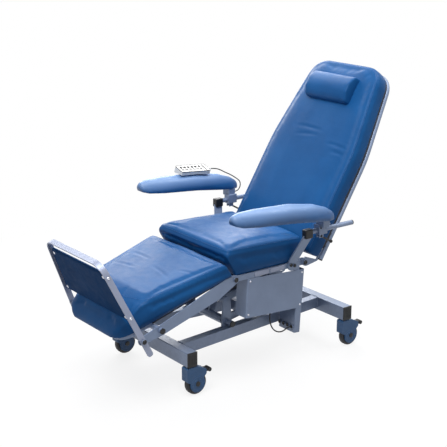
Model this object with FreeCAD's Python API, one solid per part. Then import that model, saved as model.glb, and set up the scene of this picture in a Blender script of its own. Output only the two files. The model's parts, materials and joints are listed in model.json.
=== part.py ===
import FreeCAD, Part
import os
from math import atan2, cos, degrees, hypot, pi, radians, sin, tan

# Dialysis chair: a wheeled base, a parallel-arm lift, and a seat that carries the back,
# the leg rest with its footboard, and two sliding arm rests.
# Millimetres. +X is the patient's left, -Y the foot end, +Z up, floor at Z = 0.

# How far the middle of the drawing is moved along Y to the middle of the chair's box
ORIGIN_SHIFT = 61.1

# Fits
RUN = 0.05            # radial clearance of a pin or rod that turns or slides
GAP = 0.5             # side gap between plates that swing past each other
SPIGOT_GAP = 0.15     # slack of a plug in its tube
BEYOND = 400.0        # reach of a cut that passes both sides of the chair

# Casters
WHEEL_R = 50.0
WHEEL_W = 27.0
CASTER_H = 135.0      # floor to the underside of the crossbars
CASTER_TRAIL = 28.0
STEM_R = 10.0
STEM_LEN = 48.0
SOCKET_WALL = 5.0     # wall of the stem sockets in the crossbars
AXLE_R = 5.0
CHEEK_R = 38.0
CHEEK_T = 6.0
WHEEL_SIDE_GAP = 1.0
HOOD_TOP_GAP = 4.0    # hood top below the crossbar
HOOD_FRONT = 27.0     # hood in front of the stem
PEDAL_REACH = 75.0    # pedal tip behind the wheel centre
PEDAL_PIN_R = 3.0

# Base frame
FRONT_BAR_Y = -473.0
REAR_BAR_Y = 418.0
STEM_X = 277.0
BAR_LEN = 590.0
BAR_H = 65.0
BAR_D = 50.0
TUBE_WALL = 3.0
PLUG_CAP = 5.0
PLUG_SPIGOT = 20.0
RAIL_W = 40.0
RAIL_H = 50.0
RAIL_FRONT_X = 198.0  # outer face of a base rail at the front crossbar
RAIL_REAR_X = 119.0   # outer face of a base rail at the rear crossbar

# Lift
LIFT_Y = -170.0
LIFT_TUBE_R = 14.0
LIFT_TUBE_HALF = 180.0
LIFT_TUBE_UP = 4.0    # lift tube above the base rails
SLEEVE_T = 5.0
ARM_LEN = 300.0
ARM_REST_DEG = 10.2
PIVOT_STEP = 100.0    # upper arm pivots above the lower ones
ARM_X = 106.0         # inner face of the lift arms
ARM_T = 10.0
ARM_H = 34.0
UPRIGHT_T = 10.0
UPRIGHT_W = 54.0
PIVOT_R = 9.0
LIFT_TURN = 45.0
LIFT_LEVER = 90.0     # height of the rod line above the lift tube
LIFT_PLAY = 0.6       # slot play of the lift lever
LIFT_SHARE = 1.04     # rod travel over lever reach, for each radian
LEVER_T = 6.0
STAND_BACK = 130.0    # stand's front edge ahead of the lift drive's tail
STAND_LONG = 50.0

# Actuators
ROD_R = 10.0
EYE_R = 13.0
EYE_W = 22.0
ROD_PIN_R = 6.0
ACTUATOR_SIDE = 42.0
MOTOR_R = 27.0
MOTOR_LEN = 92.0
SIDE_ACTUATOR_X = 62.0
SEAT_ROD_DROP = 78.5  # rod lines below the seat rails' centre line
LIFT_DRIVE = (98.0, 250.0, 110.0)  # nose from its lever's axis, length, rod inside the drive
LEG_DRIVE = (64.0, 232.0, 100.0)
BACK_DRIVE = (92.0, 232.0, 85.0)

# Seat
SEAT_HALF = 266.0
SEAT_BOTTOM = 476.0
SEAT_THICK = 134.0
SEAT_FALL = 16.0      # fall of the top from nose to rear
SEAT_CROWN = 7.0
SEAT_NOSE_DROP = 28.0 # front-most point below the top
SEAT_NOSE_Y = -272.0
SEAT_UNDER_FRONT_Y = -217.0
SEAT_REAR_UNDER_Y = 132.0
SEAT_REAR_TOP_Y = 174.0
RAIL_SIDE = 25.0      # square tube of the seat frame
SEAT_RAIL_X = 268.0   # outer face of the seat rails
LEG_HINGE_Y = -226.0
BACK_HINGE_Y = 165.0
HINGE_R = 8.0
HINGE_PLATE_T = 6.0
CROSS_FRONT = 92.0    # front cross tube behind the leg hinge
CROSS_REAR = 130.0    # rear cross tube ahead of the back hinge

# Side housings
HOUSING_X = 270.0
HOUSING_WIDE = 75.0
HOUSING_LONG = 325.0
HOUSING_HIGH = 180.0
HOUSING_FRONT_Y = -155.0
HOUSING_TOP_FRONT = 451.0
HOUSING_TILT = 3.6
SHEET = 2.0
LIP = 24.0

# Control box
BOX_WIDE = 110.0
BOX_DEEP = 34.0
BOX_HIGH = 122.0
BOX_ROUND = 5.0
BOX_SOCKETS = 4
BOX_SOCKET_R = 8.0
BOX_SOCKET_UP = 30.0
BOX_SOCKET_LEN = 8.0

# Leg rest
LEG_SLOPE = 20.5
LEG_KNEE_HALF = 288.0
LEG_FOOT_HALF = 205.0
LEG_LONG = 584.0
LEG_KNEE_THICK = 65.0 # cushion's side at the knee end
LEG_RISE = 0.115      # growth of that thickness for each unit of length
LEG_KNEE_BACK = 7.0   # cushion's lower knee edge from the hinge
LEG_KNEE_TIP = 12.5   # top knee edge further from the hinge than the lower one
LEG_CROWN = 9.0
# Rolled end: place below the hinge, draw-in, lift of the base, top above the footboard's pivot, crown
LEG_END = [(435, 0, 0, 115, 0.9), (468, 0, 0, 103, 0.6), (492, 1, 0, 90, 0.3), (510, 2, 0, 76, 0.1),
           (536, 6, 0, 70, 0.1), (556, 16, 1, 60, 0.1), (572, 34, 4, 43, 0.1), (582, 62, 8, 25, 0.1)]
LEG_EDGE_R = 15.0
LEG_BOARD_SHORT = 29.0 # board ends before the cushion
LEG_BOARD_ROUND = 70.0
LEG_RIM_T = 3.0       # metal edging round the board's end
LEG_RIM_GAP = 0.5
LEG_RIM_LIP = 20.0
LEG_GUSSET_RUN = 60.0
LEG_GUSSET_DROP = 34.0
LEG_BAR_T = 5.0
LEG_BAR_H = 36.0
LEG_BOARD_T = 10.0
LEG_TUBE_R = 12.5
LEG_KNEE_TUBE = 45.0
LEG_FOOT_TUBE = 410.0
LEG_TURN = (-13.0, 9.0)
LEG_PLAY = 0.6
LEG_SHARE = 1.009

# Footboard
FOOT_PIVOT = 506.0
FOOT_PIVOT_UP = 20.0
FOOT_LEAN = 3.0
FOOT_DROP = 74.0      # post below its pivot
FOOT_RISE = 372.0     # top bar above the pivot
FOOT_BAR_T = 6.0
FOOT_BAR_W = 26.0
FOOT_NARROWING = 0.18 # inward run of a post for each unit of height
FOOT_CORNER_R = 62.0
PANEL_T = 10.0
PANEL_LOW = 90.0      # panel's lower edge above the pivot
GRIP_GAP = 34.0
FOOT_PIN_R = 6.0

# Back
BACK_LEAN = 32.0
BACK_HALF = 292.0
BACK_BEND = 540.0     # height where the sides start to draw in
BACK_TOP = 961.0
BACK_TOP_HALF = 225.0
BACK_BEND_R = 700.0
BACK_CORNER_R = 110.0
BACK_FOOT = 40.0      # cushion's lower end above the hinge
BACK_FRONT = 24.0     # cushion's front edge ahead of the hinge
BACK_THICK = 82.0
BACK_CROWN = 7.0
BACK_BOARD_T = 12.0
BACK_TUBE_R = 11.0
BACK_TUBE_X = 275.0
BACK_TUBE_WALL = 2.0
BACK_TUBE_FOOT = 46.0 # lower ends of the back tube above the hinge
BACK_BAR_UP = 14.0    # lower cross tube above those ends
BACK_BOARD_FOOT = 52.0
BACK_TURN = (-15.0, 55.0)
BACK_PLAY = 2.6
BACK_SHARE = 1.108
PILLOW_HALF = 143.0
PILLOW_LOW = 742.0
PILLOW_HIGH = 138.0
PILLOW_DEEP = 58.0

# Arm rests
PAD_X = 346.0
POST_W = 45.0
POST_T = 8.0
POST_LEAN = 17.0
POST_FOOT = 44.0      # flat part on the seat rail
POST_FOOT_Y = 84.0
POST_FOOT_Z = 440.0
ARM_TUBE_R = 11.0
ARM_TUBE_X = 325.0
ARM_TUBE_Z = 620.0
ARM_TUBE_FRONT = 118.0
ARM_TUBE_REAR = 396.0
SOCKET_LEN = 42.0
SOCKET_SIDE = 31.0
SOCKET_DROP = 14.0    # socket below the arm tube
CLAMP_Y = 186.0
CLAMP_LEN = 48.0
CLAMP_SIDE = 36.0
PLATE_T = 5.0
PLATE_SLOPE = -7.0
PLATE_Z = 672.0
GLAND_R = 5.0
GLAND_UP = 26.0       # cord gland above the arm tube
GLAND_LEN = 16.0
LEVER_R = 4.0
LEVER_REACH = 78.0
LEVER_REST = -30.0

# Arm pad sections: place along Y, half width, half height, height of the middle
PAD_STATIONS = [(-312, 14, 9, 757), (-301, 31, 22, 757), (-268, 42, 32, 757), (-190, 48, 38, 753),
                (0, 49, 42, 740), (137, 47, 40, 719), (215, 40, 31, 701), (250, 28, 20, 690),
                (262, 12, 8, 687)]

# Handset
HANDSET_Y = 0.0
HANDSET_LONG = 168.0
HANDSET_WIDE = 62.0
HANDSET_HIGH = 30.0
HANDSET_STANDS = 20.0 # handset's top above the pad's crown
HANDSET_TILT = 5.0
HANDSET_ROLL = 18.0   # face turned to the patient
HANDSET_TAIL = 42.0   # length without keys
RELIEF_LEN = 22.0
KEY_COUNT = 6
KEY_WIDE = 15.0
KEY_LONG = 34.0
KEY_HIGH = 9.0
KEY_PIN_R = 1.5
KEY_GAP = 0.5

# Cords: way points in Y and Z, of the cable in the left housing's frame
CABLE_R = 3.0
CABLE_LIP_Y = 150.0   # where the cable leaves the housing's lip
CABLE_WAY = [(150, -206), (155, -232), (167, -257), (187, -276), (212, -286), (236.5, -285), (259.5, -272)]
CORD_R = 2.5
CORD_WAY = [(130, 780.6), (160, 770), (191, 752), (222, 737), (252, 718), (281, 697), (287.3, 677.5),
            (281, 658), (264.4, 646)]

# Worked-out places
BAR_TOP = CASTER_H + BAR_H
LIFT_Z = BAR_TOP + LIFT_TUBE_UP + LIFT_TUBE_R
SEAT_PIVOT_Y = LIFT_Y + ARM_LEN * cos(radians(ARM_REST_DEG))
SEAT_PIVOT_Z = LIFT_Z + ARM_LEN * sin(radians(ARM_REST_DEG))
HINGE_Z = SEAT_BOTTOM - RAIL_SIDE / 2
SEAT_TOP = SEAT_BOTTOM + SEAT_THICK
ROD_Z = HINGE_Z - SEAT_ROD_DROP
LIFT_ROD_Z = LIFT_Z + LIFT_LEVER
LIFT_PIN_Y = LIFT_Y + LIFT_SHARE * LIFT_LEVER * radians(LIFT_TURN / 2)
LEG_PIN_Y = LEG_HINGE_Y + LEG_SHARE * SEAT_ROD_DROP * radians(sum(LEG_TURN) / 2)
BACK_PIN_Y = BACK_HINGE_Y + BACK_SHARE * SEAT_ROD_DROP * radians(sum(BACK_TURN) / 2)
CROSS_FRONT_Y = LEG_HINGE_Y + CROSS_FRONT
CROSS_REAR_Y = BACK_HINGE_Y - CROSS_REAR
BOARD_BACK = BACK_THICK - BACK_FRONT
BACK_TUBE_Y = BOARD_BACK + BACK_BOARD_T + BACK_TUBE_R
HINGE_PLATE_X = SEAT_RAIL_X + GAP
LEG_BOARD_UP = LEG_TUBE_R + 7.5
LEG_CUSHION_UP = LEG_BOARD_UP + LEG_BOARD_T
FOOT_INNER = HINGE_PLATE_X + LEG_BAR_T + 5.5
X_AXIS = FreeCAD.Vector(1, 0, 0)
Y_AXIS = FreeCAD.Vector(0, 1, 0)
Z_AXIS = FreeCAD.Vector(0, 0, 1)


def vec(x, y, z):
    return FreeCAD.Vector(x, y, z)


def block(x0, x1, y0, y1, z0, z1):
    return Part.makeBox(x1 - x0, y1 - y0, z1 - z0, vec(x0, y0, z0))


def rod_x(radius, x0, x1, y, z):
    return Part.makeCylinder(radius, x1 - x0, vec(x0, y, z), X_AXIS)


def rod_y(radius, y0, y1, x, z):
    return Part.makeCylinder(radius, y1 - y0, vec(x, y0, z), Y_AXIS)


def rod_z(radius, z0, z1, x, y):
    return Part.makeCylinder(radius, z1 - z0, vec(x, y, z0), Z_AXIS)


def joined(shapes):
    first = shapes[0]
    return first.fuse(shapes[1:]).removeSplitter()


def mirrored(shape):
    return shape.mirror(vec(0, 0, 0), X_AXIS)


def turned(shape, degrees_about_x, y, z):
    copy = shape.copy()
    copy.rotate(vec(0, 0, 0), X_AXIS, degrees_about_x)
    copy.translate(vec(0, y, z))
    return copy


def in_leg(shape):
    return turned(shape, LEG_SLOPE, LEG_HINGE_Y, HINGE_Z)


def in_back(shape):
    return turned(shape, -BACK_LEAN, BACK_HINGE_Y, HINGE_Z)


def corner(before, point, after, radius):
    """Two tangent points and the middle of the arc that rounds one corner."""
    to_before = (before - point).normalize()
    to_after = (after - point).normalize()
    half = to_before.getAngle(to_after) / 2
    reach = radius / tan(half)
    middle = (to_before + to_after).normalize()
    centre = point + middle * (radius / sin(half))
    return point + to_before * reach, centre - middle * radius, point + to_after * reach


def rounded(points, radii, closed=True):
    """Wire of straight runs with a tangent arc at each corner that has a radius."""
    count = len(points)
    edges = []
    start = None
    here = None
    for index, point in enumerate(points):
        ends = not closed and index in (0, count - 1)
        if ends or radii[index] == 0:
            enter, middle, leave = point, None, point
        else:
            before = points[index - 1]
            after = points[(index + 1) % count]
            enter, middle, leave = corner(before, point, after, radii[index])
        if here is not None and (enter - here).Length > 1e-6:
            edges.append(Part.makeLine(here, enter))
        if middle is not None:
            edges.append(Part.Arc(enter, middle, leave).toShape())
        if start is None:
            start = enter
        here = leave
    if closed and (start - here).Length > 1e-6:
        edges.append(Part.makeLine(here, start))
    return Part.Wire(edges)


def plate_yz(points, radii, x0, x1):
    """Flat plate with a rounded outline in Y and Z, between two X faces."""
    wire = rounded([vec(x0, y, z) for y, z in points], radii)
    return Part.Face(wire).extrude(vec(x1 - x0, 0, 0))


def link_yz(start, end, half, x0, x1):
    """Flat bar with round ends from one pivot to another."""
    length = hypot(end[0] - start[0], end[1] - start[1])
    bar = block(x0, x1, 0, length, -half, half)
    bar = joined([bar, rod_x(half, x0, x1, 0, 0), rod_x(half, x0, x1, length, 0)])
    return turned(bar, degrees(atan2(end[1] - start[1], end[0] - start[0])), start[0], start[1])


def square_tube_x(x0, x1, y, z, side, wall):
    half = side / 2
    inner = half - wall
    outer = block(x0, x1, y - half, y + half, z - half, z + half)
    return outer.cut(block(x0 - 1, x1 + 1, y - inner, y + inner, z - inner, z + inner))


def pipe(wire, radius, wall):
    """Round tube along a wire of lines and tangent arcs."""
    start = wire.Edges[0].Vertexes[0].Point
    way = wire.Edges[0].tangentAt(wire.Edges[0].FirstParameter)
    outer = wire.makePipeShell([Part.Wire(Part.makeCircle(radius, start, way))], True, False)
    if wall == 0:
        return outer
    inner = wire.makePipeShell([Part.Wire(Part.makeCircle(radius - wall, start, way))], True, False)
    return outer.cut(inner)


# Casters

def caster_fork(x, y):
    """Hooded fork with its stem and axle; the wheel trails towards the head end."""
    half = WHEEL_W / 2 + WHEEL_SIDE_GAP + CHEEK_T
    slot = WHEEL_W / 2 + WHEEL_SIDE_GAP
    top = CASTER_H - HOOD_TOP_GAP
    rear = CASTER_TRAIL + CHEEK_R
    outline = [(-HOOD_FRONT, WHEEL_R + 18), (-HOOD_FRONT, top), (CASTER_TRAIL, top),
               (rear + 8, WHEEL_R + 58), (rear + 8, WHEEL_R + 38), (CASTER_TRAIL, WHEEL_R - 10)]
    hood = plate_yz(outline, [8, 8, 20, 8, 8, 0], -half, half)
    hood = joined([hood, rod_x(CHEEK_R, -half, half, CASTER_TRAIL, WHEEL_R)])
    hood = hood.cut(rod_x(WHEEL_R + 4, -slot, slot, CASTER_TRAIL, WHEEL_R))
    hood = hood.cut(block(-slot, slot, CASTER_TRAIL, rear + 20, 0, pedal_pin()[1] + 12))
    hood = hood.cut(block(-slot, slot, -HOOD_FRONT - 1, CASTER_TRAIL, 0, WHEEL_R))
    stem = rod_z(STEM_R, top, CASTER_H + STEM_LEN, 0, 0)
    collar = rod_z(STEM_R + 6, top, CASTER_H - GAP, 0, 0)
    axle = rod_x(AXLE_R, -half - 2, half + 2, CASTER_TRAIL, WHEEL_R)
    pin_y, pin_z = pedal_pin()
    pin = rod_x(PEDAL_PIN_R, -half, half, pin_y, pin_z)
    fork = joined([hood, stem, collar, axle, pin])
    fork.translate(vec(x, y, 0))
    return fork


def pedal_pin():
    return CASTER_TRAIL + CHEEK_R - 2, WHEEL_R + 51


def caster_wheel(x, y):
    """Tyre and hub turned from one profile, dished on both faces."""
    half = WHEEL_W / 2
    bore = AXLE_R + RUN
    profile = [vec(-half, bore, 0), vec(-half, 14, 0), vec(-half + 4, 18, 0),
               vec(-half + 4, WHEEL_R - 15, 0),
               vec(-half, WHEEL_R - 12, 0), vec(-half, WHEEL_R, 0), vec(half, WHEEL_R, 0),
               vec(half, WHEEL_R - 12, 0), vec(half - 4, WHEEL_R - 15, 0), vec(half - 4, 18, 0),
               vec(half, 14, 0), vec(half, bore, 0)]
    wire = rounded(profile, [0, 0, 0, 0, 0, 7, 7, 0, 0, 0, 0, 0])
    wheel = Part.Face(wire).revolve(vec(0, 0, 0), X_AXIS, 360)
    wheel.translate(vec(x, y + CASTER_TRAIL, WHEEL_R))
    return wheel


def caster_pedal(x, y):
    """Brake pedal on its pin between the cheeks."""
    half = WHEEL_W / 2 - 1
    pin_y, pin_z = pedal_pin()
    tip = CASTER_TRAIL + PEDAL_REACH - 8
    pedal = link_yz((pin_y, pin_z), (tip, pin_z - 4), 7, -half, half)
    tread = rod_x(9, -half - 3, half + 3, tip, pin_z - 4)
    pedal = joined([pedal, tread]).cut(rod_x(PEDAL_PIN_R + RUN, -half - 1, half + 1, pin_y, pin_z))
    pedal.translate(vec(x, y, 0))
    return pedal


# Base frame

def crossbar(y):
    """Rectangular tube with a socket for a caster stem near each end."""
    half = BAR_LEN / 2
    outer = block(-half, half, y - BAR_D / 2, y + BAR_D / 2, CASTER_H, BAR_TOP)
    outer = outer.makeFillet(4, [e for e in outer.Edges if abs(e.Vertexes[0].X - e.Vertexes[1].X) > 1])
    inner = BAR_D / 2 - TUBE_WALL
    hollow = block(-half - 1, half + 1, y - inner, y + inner, CASTER_H + TUBE_WALL, BAR_TOP - TUBE_WALL)
    bar = outer.cut(hollow)
    stem_top = CASTER_H + STEM_LEN
    sockets = [rod_z(STEM_R + SOCKET_WALL, CASTER_H, stem_top + 6, x, y) for x in (-STEM_X, STEM_X)]
    bores = [rod_z(STEM_R + RUN, CASTER_H - 1, stem_top + GAP, x, y) for x in (-STEM_X, STEM_X)]
    return joined([bar] + sockets).cut(bores)


def bar_plug(side, y):
    """Cap with a short spigot that fills the open end of a crossbar, hollowed for the stem socket."""
    inner = BAR_D / 2 - TUBE_WALL - SPIGOT_GAP
    end = BAR_LEN / 2
    cap = block(end, end + PLUG_CAP, y - BAR_D / 2, y + BAR_D / 2, CASTER_H, BAR_TOP)
    cap = cap.makeFillet(PLUG_CAP / 2, [e for e in cap.Edges if e.BoundBox.XMin > end + PLUG_CAP / 2])
    low = CASTER_H + TUBE_WALL + SPIGOT_GAP
    spigot = block(end - PLUG_SPIGOT, end, y - inner, y + inner, low, BAR_TOP - TUBE_WALL - SPIGOT_GAP)
    spigot = spigot.cut(rod_z(STEM_R + SOCKET_WALL + GAP, CASTER_H, BAR_TOP, STEM_X, y))
    spigot = spigot.cut(block(end - PLUG_SPIGOT - 1, STEM_X, y - inner, y + inner, CASTER_H, BAR_TOP))
    plug = joined([cap, spigot])
    return plug if side > 0 else mirrored(plug)


def base_rail():
    """Rectangular tube that runs from crossbar to crossbar and narrows the base to the rear."""
    front = FRONT_BAR_Y + BAR_D / 2
    rear = REAR_BAR_Y - BAR_D / 2

    def prism(inset, low, high, over):
        x_front = RAIL_FRONT_X + over * (RAIL_FRONT_X - RAIL_REAR_X) / (rear - front)
        x_rear = RAIL_REAR_X - over * (RAIL_FRONT_X - RAIL_REAR_X) / (rear - front)
        points = [vec(x_front - RAIL_W + inset, front - over, low), vec(x_front - inset, front - over, low),
                  vec(x_rear - inset, rear + over, low), vec(x_rear - RAIL_W + inset, rear + over, low)]
        return Part.Face(Part.makePolygon(points + points[:1])).extrude(vec(0, 0, high - low))

    low = BAR_TOP - RAIL_H
    return prism(0, low, BAR_TOP, 0).cut(prism(TUBE_WALL, low + TUBE_WALL, BAR_TOP - TUBE_WALL, 5))


def rail_x(y):
    """Outer face of a base rail at a place along the base."""
    front = FRONT_BAR_Y + BAR_D / 2
    rear = REAR_BAR_Y - BAR_D / 2
    return RAIL_FRONT_X + (RAIL_REAR_X - RAIL_FRONT_X) * (y - front) / (rear - front)


# Lift

def lift_tube():
    half = LIFT_TUBE_HALF
    tube = rod_x(LIFT_TUBE_R, -half, half, LIFT_Y, LIFT_Z)
    return tube.cut(rod_x(LIFT_TUBE_R - TUBE_WALL, -half - 1, half + 1, LIFT_Y, LIFT_Z))


def lift_plug(side):
    """Round plug in the end of the lift tube."""
    end = LIFT_TUBE_HALF
    cap = rod_x(LIFT_TUBE_R, end, end + PLUG_CAP, LIFT_Y, LIFT_Z)
    cap = cap.makeFillet(2, [cap.Edges[0]])
    spigot = rod_x(LIFT_TUBE_R - TUBE_WALL - SPIGOT_GAP, end - PLUG_SPIGOT, end, LIFT_Y, LIFT_Z)
    plug = joined([cap, spigot])
    return plug if side > 0 else mirrored(plug)


def upright_x():
    return rail_x(LIFT_Y + UPRIGHT_W / 2) - RAIL_W + 2


def lift_upright(side):
    """Plate on a base rail that carries the lift tube and the upper arm's pivot stub."""
    x0 = upright_x()
    x1 = x0 + UPRIGHT_T
    top = LIFT_Z + PIVOT_STEP
    half = UPRIGHT_W / 2
    outline = [(LIFT_Y - half, BAR_TOP), (LIFT_Y + half, BAR_TOP), (LIFT_Y + 18, top + 18),
               (LIFT_Y - 18, top + 18)]
    plate = plate_yz(outline, [0, 0, 16, 16], x0, x1)
    plate = plate.cut(rod_x(LIFT_TUBE_R, x0 - 1, x1 + 1, LIFT_Y, LIFT_Z))
    stub = rod_x(PIVOT_R, ARM_X - 6, x0 + 1, LIFT_Y, top)
    shoulder = rod_x(PIVOT_R + 6, ARM_X + ARM_T + GAP, x0 + 1, LIFT_Y, top)
    upright = joined([plate, stub, shoulder])
    return upright if side > 0 else mirrored(upright)


def lift_arms_lower():
    """Two arms on one sleeve that turns on the lift tube, with the lever that the lift rod pushes."""
    bore = LIFT_TUBE_R + RUN
    outer = ARM_X + ARM_T
    sleeve = rod_x(bore + SLEEVE_T, -outer, outer, LIFT_Y, LIFT_Z)
    end = (SEAT_PIVOT_Y, SEAT_PIVOT_Z)
    arms = [link_yz((LIFT_Y, LIFT_Z), end, ARM_H / 2, ARM_X, outer)]
    arms.append(mirrored(arms[0]))
    swing = LIFT_TURN / 2
    levers = [slotted_lever(LIFT_LEVER, swing, LIFT_PLAY)]
    levers.append(mirrored(levers[0]))
    levers = [turned(lever, -swing, LIFT_Y, LIFT_Z) for lever in levers]
    body = joined([sleeve] + arms + levers).cut(rod_x(bore, -outer - 1, outer + 1, LIFT_Y, LIFT_Z))
    holes = [rod_x(PIVOT_R + RUN, x0, x0 + ARM_T + 2, *end) for x0 in (ARM_X - 1, -outer - 1)]
    return body.cut(holes)


def slotted_lever(reach, swing, play):
    """Lever beside a rod eye, standing on the X axis, with a slot for the eye's pin."""
    x0 = EYE_W / 2 + GAP
    x1 = x0 + LEVER_T
    low = reach - ROD_PIN_R - play - 4
    high = reach / cos(radians(swing)) + ROD_PIN_R + play + 4
    half = ROD_PIN_R + play + RUN
    edge = half + 9
    end = high + 7
    body = plate_yz([(-edge, 0), (edge, 0), (edge, end), (-edge, end)], [0, 0, 8, 8], x0, x1)
    return body.cut(block(x0 - 1, x1 + 1, -half, half, low, high))


def lift_arm_upper(side):
    """Upper arm, parallel with the lower one, on the upright's stub and the seat's stub."""
    start = (LIFT_Y, LIFT_Z + PIVOT_STEP)
    end = (SEAT_PIVOT_Y, SEAT_PIVOT_Z + PIVOT_STEP)
    arm = link_yz(start, end, ARM_H / 2, ARM_X, ARM_X + ARM_T)
    arm = arm.cut([rod_x(PIVOT_R + RUN, ARM_X - 1, ARM_X + ARM_T + 1, *place) for place in (start, end)])
    return arm if side > 0 else mirrored(arm)


# Actuators

def actuator(x, z, axis_y, drive, way):
    """Square-section drive with a rod bore at its nose and a motor hung under its tail."""
    nose = axis_y + way * drive[0]
    tail = nose + way * drive[1]
    half = ACTUATOR_SIDE / 2
    low, high = sorted((nose, tail))
    case = block(x - half, x + half, low, high, z - half, z + half)
    case = case.makeFillet(7, [e for e in case.Edges if e.BoundBox.YLength > 10])
    motor = rod_z(MOTOR_R, z - MOTOR_LEN, z, x, tail - way * (MOTOR_R + 6))
    motor = motor.makeFillet(5, [e for e in motor.Edges if e.BoundBox.ZMax < z - MOTOR_LEN + 0.1])
    ring = rod_y(ROD_R + 7, nose - 10, nose + 10, x, z)
    body = joined([case, motor, ring])
    start, stop = sorted((nose - way * 12, tail - way * 2 * MOTOR_R))
    return body.cut(rod_y(ROD_R + RUN, start, stop, x, z))


def actuator_rod(x, z, axis_y, drive, way, pin_y):
    """Rod with an eye and a cross pin at its outer end."""
    low, high = sorted((pin_y, axis_y + way * (drive[0] + drive[2])))
    rod = rod_y(ROD_R, low, high, x, z)
    eye = rod_x(EYE_R, x - EYE_W / 2, x + EYE_W / 2, pin_y, z)
    reach = EYE_W / 2 + GAP + LEVER_T + 2
    pin = rod_x(ROD_PIN_R, x - reach, x + reach, pin_y, z)
    return joined([rod, eye, pin])


def lift_stand():
    """Cross channel between the rails with a post under the lift drive."""
    y0 = LIFT_Y + LIFT_DRIVE[0] + LIFT_DRIVE[1] - STAND_BACK
    y1 = y0 + STAND_LONG
    inner = rail_x(y1) - RAIL_W
    outer = rail_x(y0) - RAIL_W
    low = BAR_TOP - RAIL_H
    points = [vec(-outer, y0, low), vec(outer, y0, low), vec(inner, y1, low), vec(-inner, y1, low)]
    cross = Part.Face(Part.makePolygon(points + points[:1])).extrude(vec(0, 0, RAIL_H))
    hollow = block(-outer, outer, y0 + TUBE_WALL, y1 - TUBE_WALL, low - 1, BAR_TOP - TUBE_WALL)
    cross = cross.cut(hollow)
    post = block(-15, 15, y0 + 10, y1 - 10, BAR_TOP, LIFT_ROD_Z - ACTUATOR_SIDE / 2)
    return joined([cross, post])


# Seat

def seat_frame():
    """Two square-tube rails, two cross tubes, lift brackets, actuator hangers and hinge pins."""
    half = RAIL_SIDE / 2
    front = LEG_HINGE_Y - half
    rear = BACK_HINGE_Y + half
    centre = SEAT_RAIL_X - half
    rail = block(centre - half, centre + half, front, rear, HINGE_Z - half, HINGE_Z + half)
    inner = half - TUBE_WALL
    hollow = block(centre - inner, centre + inner, front - 1, rear + 1, HINGE_Z - inner, HINGE_Z + inner)
    pieces = [rail.cut(hollow), seat_bracket()]
    pieces.append(housing_tab(HOUSING_FRONT_Y + 40))
    pieces.append(housing_tab(HOUSING_FRONT_Y + HOUSING_LONG - 60))
    for y, plate in ((LEG_HINGE_Y, LEG_BAR_T), (BACK_HINGE_Y, HINGE_PLATE_T)):
        end = HINGE_PLATE_X + plate + GAP
        pieces.append(rod_x(HINGE_R, SEAT_RAIL_X - RAIL_SIDE, end, y, HINGE_Z))
        pieces.append(rod_x(HINGE_R + 4, end, end + 5, y, HINGE_Z))
    pieces += [mirrored(piece) for piece in pieces]
    for y in (CROSS_FRONT_Y, CROSS_REAR_Y):
        pieces.append(square_tube_x(-centre, centre, y, HINGE_Z, RAIL_SIDE, TUBE_WALL))
    return joined(pieces + hangers(-SIDE_ACTUATOR_X) + hangers(SIDE_ACTUATOR_X))


def seat_bracket():
    """Plate under a seat rail's cross tube with the stubs of both lift arms."""
    x0 = ARM_X + ARM_T + GAP
    x1 = x0 + UPRIGHT_T
    top = HINGE_Z - RAIL_SIDE / 2
    low = SEAT_PIVOT_Z
    high = SEAT_PIVOT_Z + PIVOT_STEP
    outline = [(SEAT_PIVOT_Y - 20, low - 20), (SEAT_PIVOT_Y + 20, low - 20), (SEAT_PIVOT_Y + 20, high + 20),
               (CROSS_REAR_Y + 40, top), (CROSS_REAR_Y - 20, top), (SEAT_PIVOT_Y - 20, high - 10)]
    plate = plate_yz(outline, [18, 18, 10, 0, 0, 30], x0, x1)
    stubs = [rod_x(PIVOT_R, ARM_X - 6, x0 + 1, SEAT_PIVOT_Y, z) for z in (low, high)]
    foot = block(x0, x1, CROSS_REAR_Y - RAIL_SIDE / 2, CROSS_REAR_Y + RAIL_SIDE / 2, top - 1, top + 1)
    return joined([plate, foot] + stubs)


def housing_tab(y):
    """Tab that drops from a seat rail behind the side housing's panel."""
    return block(SEAT_RAIL_X - 6, HOUSING_X - SHEET, y, y + 30, HINGE_Z - 62, HINGE_Z - RAIL_SIDE / 2 + 1)


def hangers(x):
    """Two straps that hang a drive from the cross tubes."""
    top = HINGE_Z - RAIL_SIDE / 2 + 1
    low = ROD_Z + ACTUATOR_SIDE / 2
    return [block(x - 14, x + 14, y - 8, y + 8, low, top) for y in (CROSS_FRONT_Y, CROSS_REAR_Y)]


def shrunk(points, inset):
    """Outline drawn in on all sides by about the same amount."""
    ys = [p[0] for p in points]
    zs = [p[1] for p in points]
    y_mid, z_mid = (min(ys) + max(ys)) / 2, (min(zs) + max(zs)) / 2
    y_scale = 1 - 2 * inset / (max(ys) - min(ys))
    z_scale = 1 - 2 * inset / (max(zs) - min(zs))
    return [(y_mid + (y - y_mid) * y_scale, z_mid + (z - z_mid) * z_scale) for y, z in points]


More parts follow.
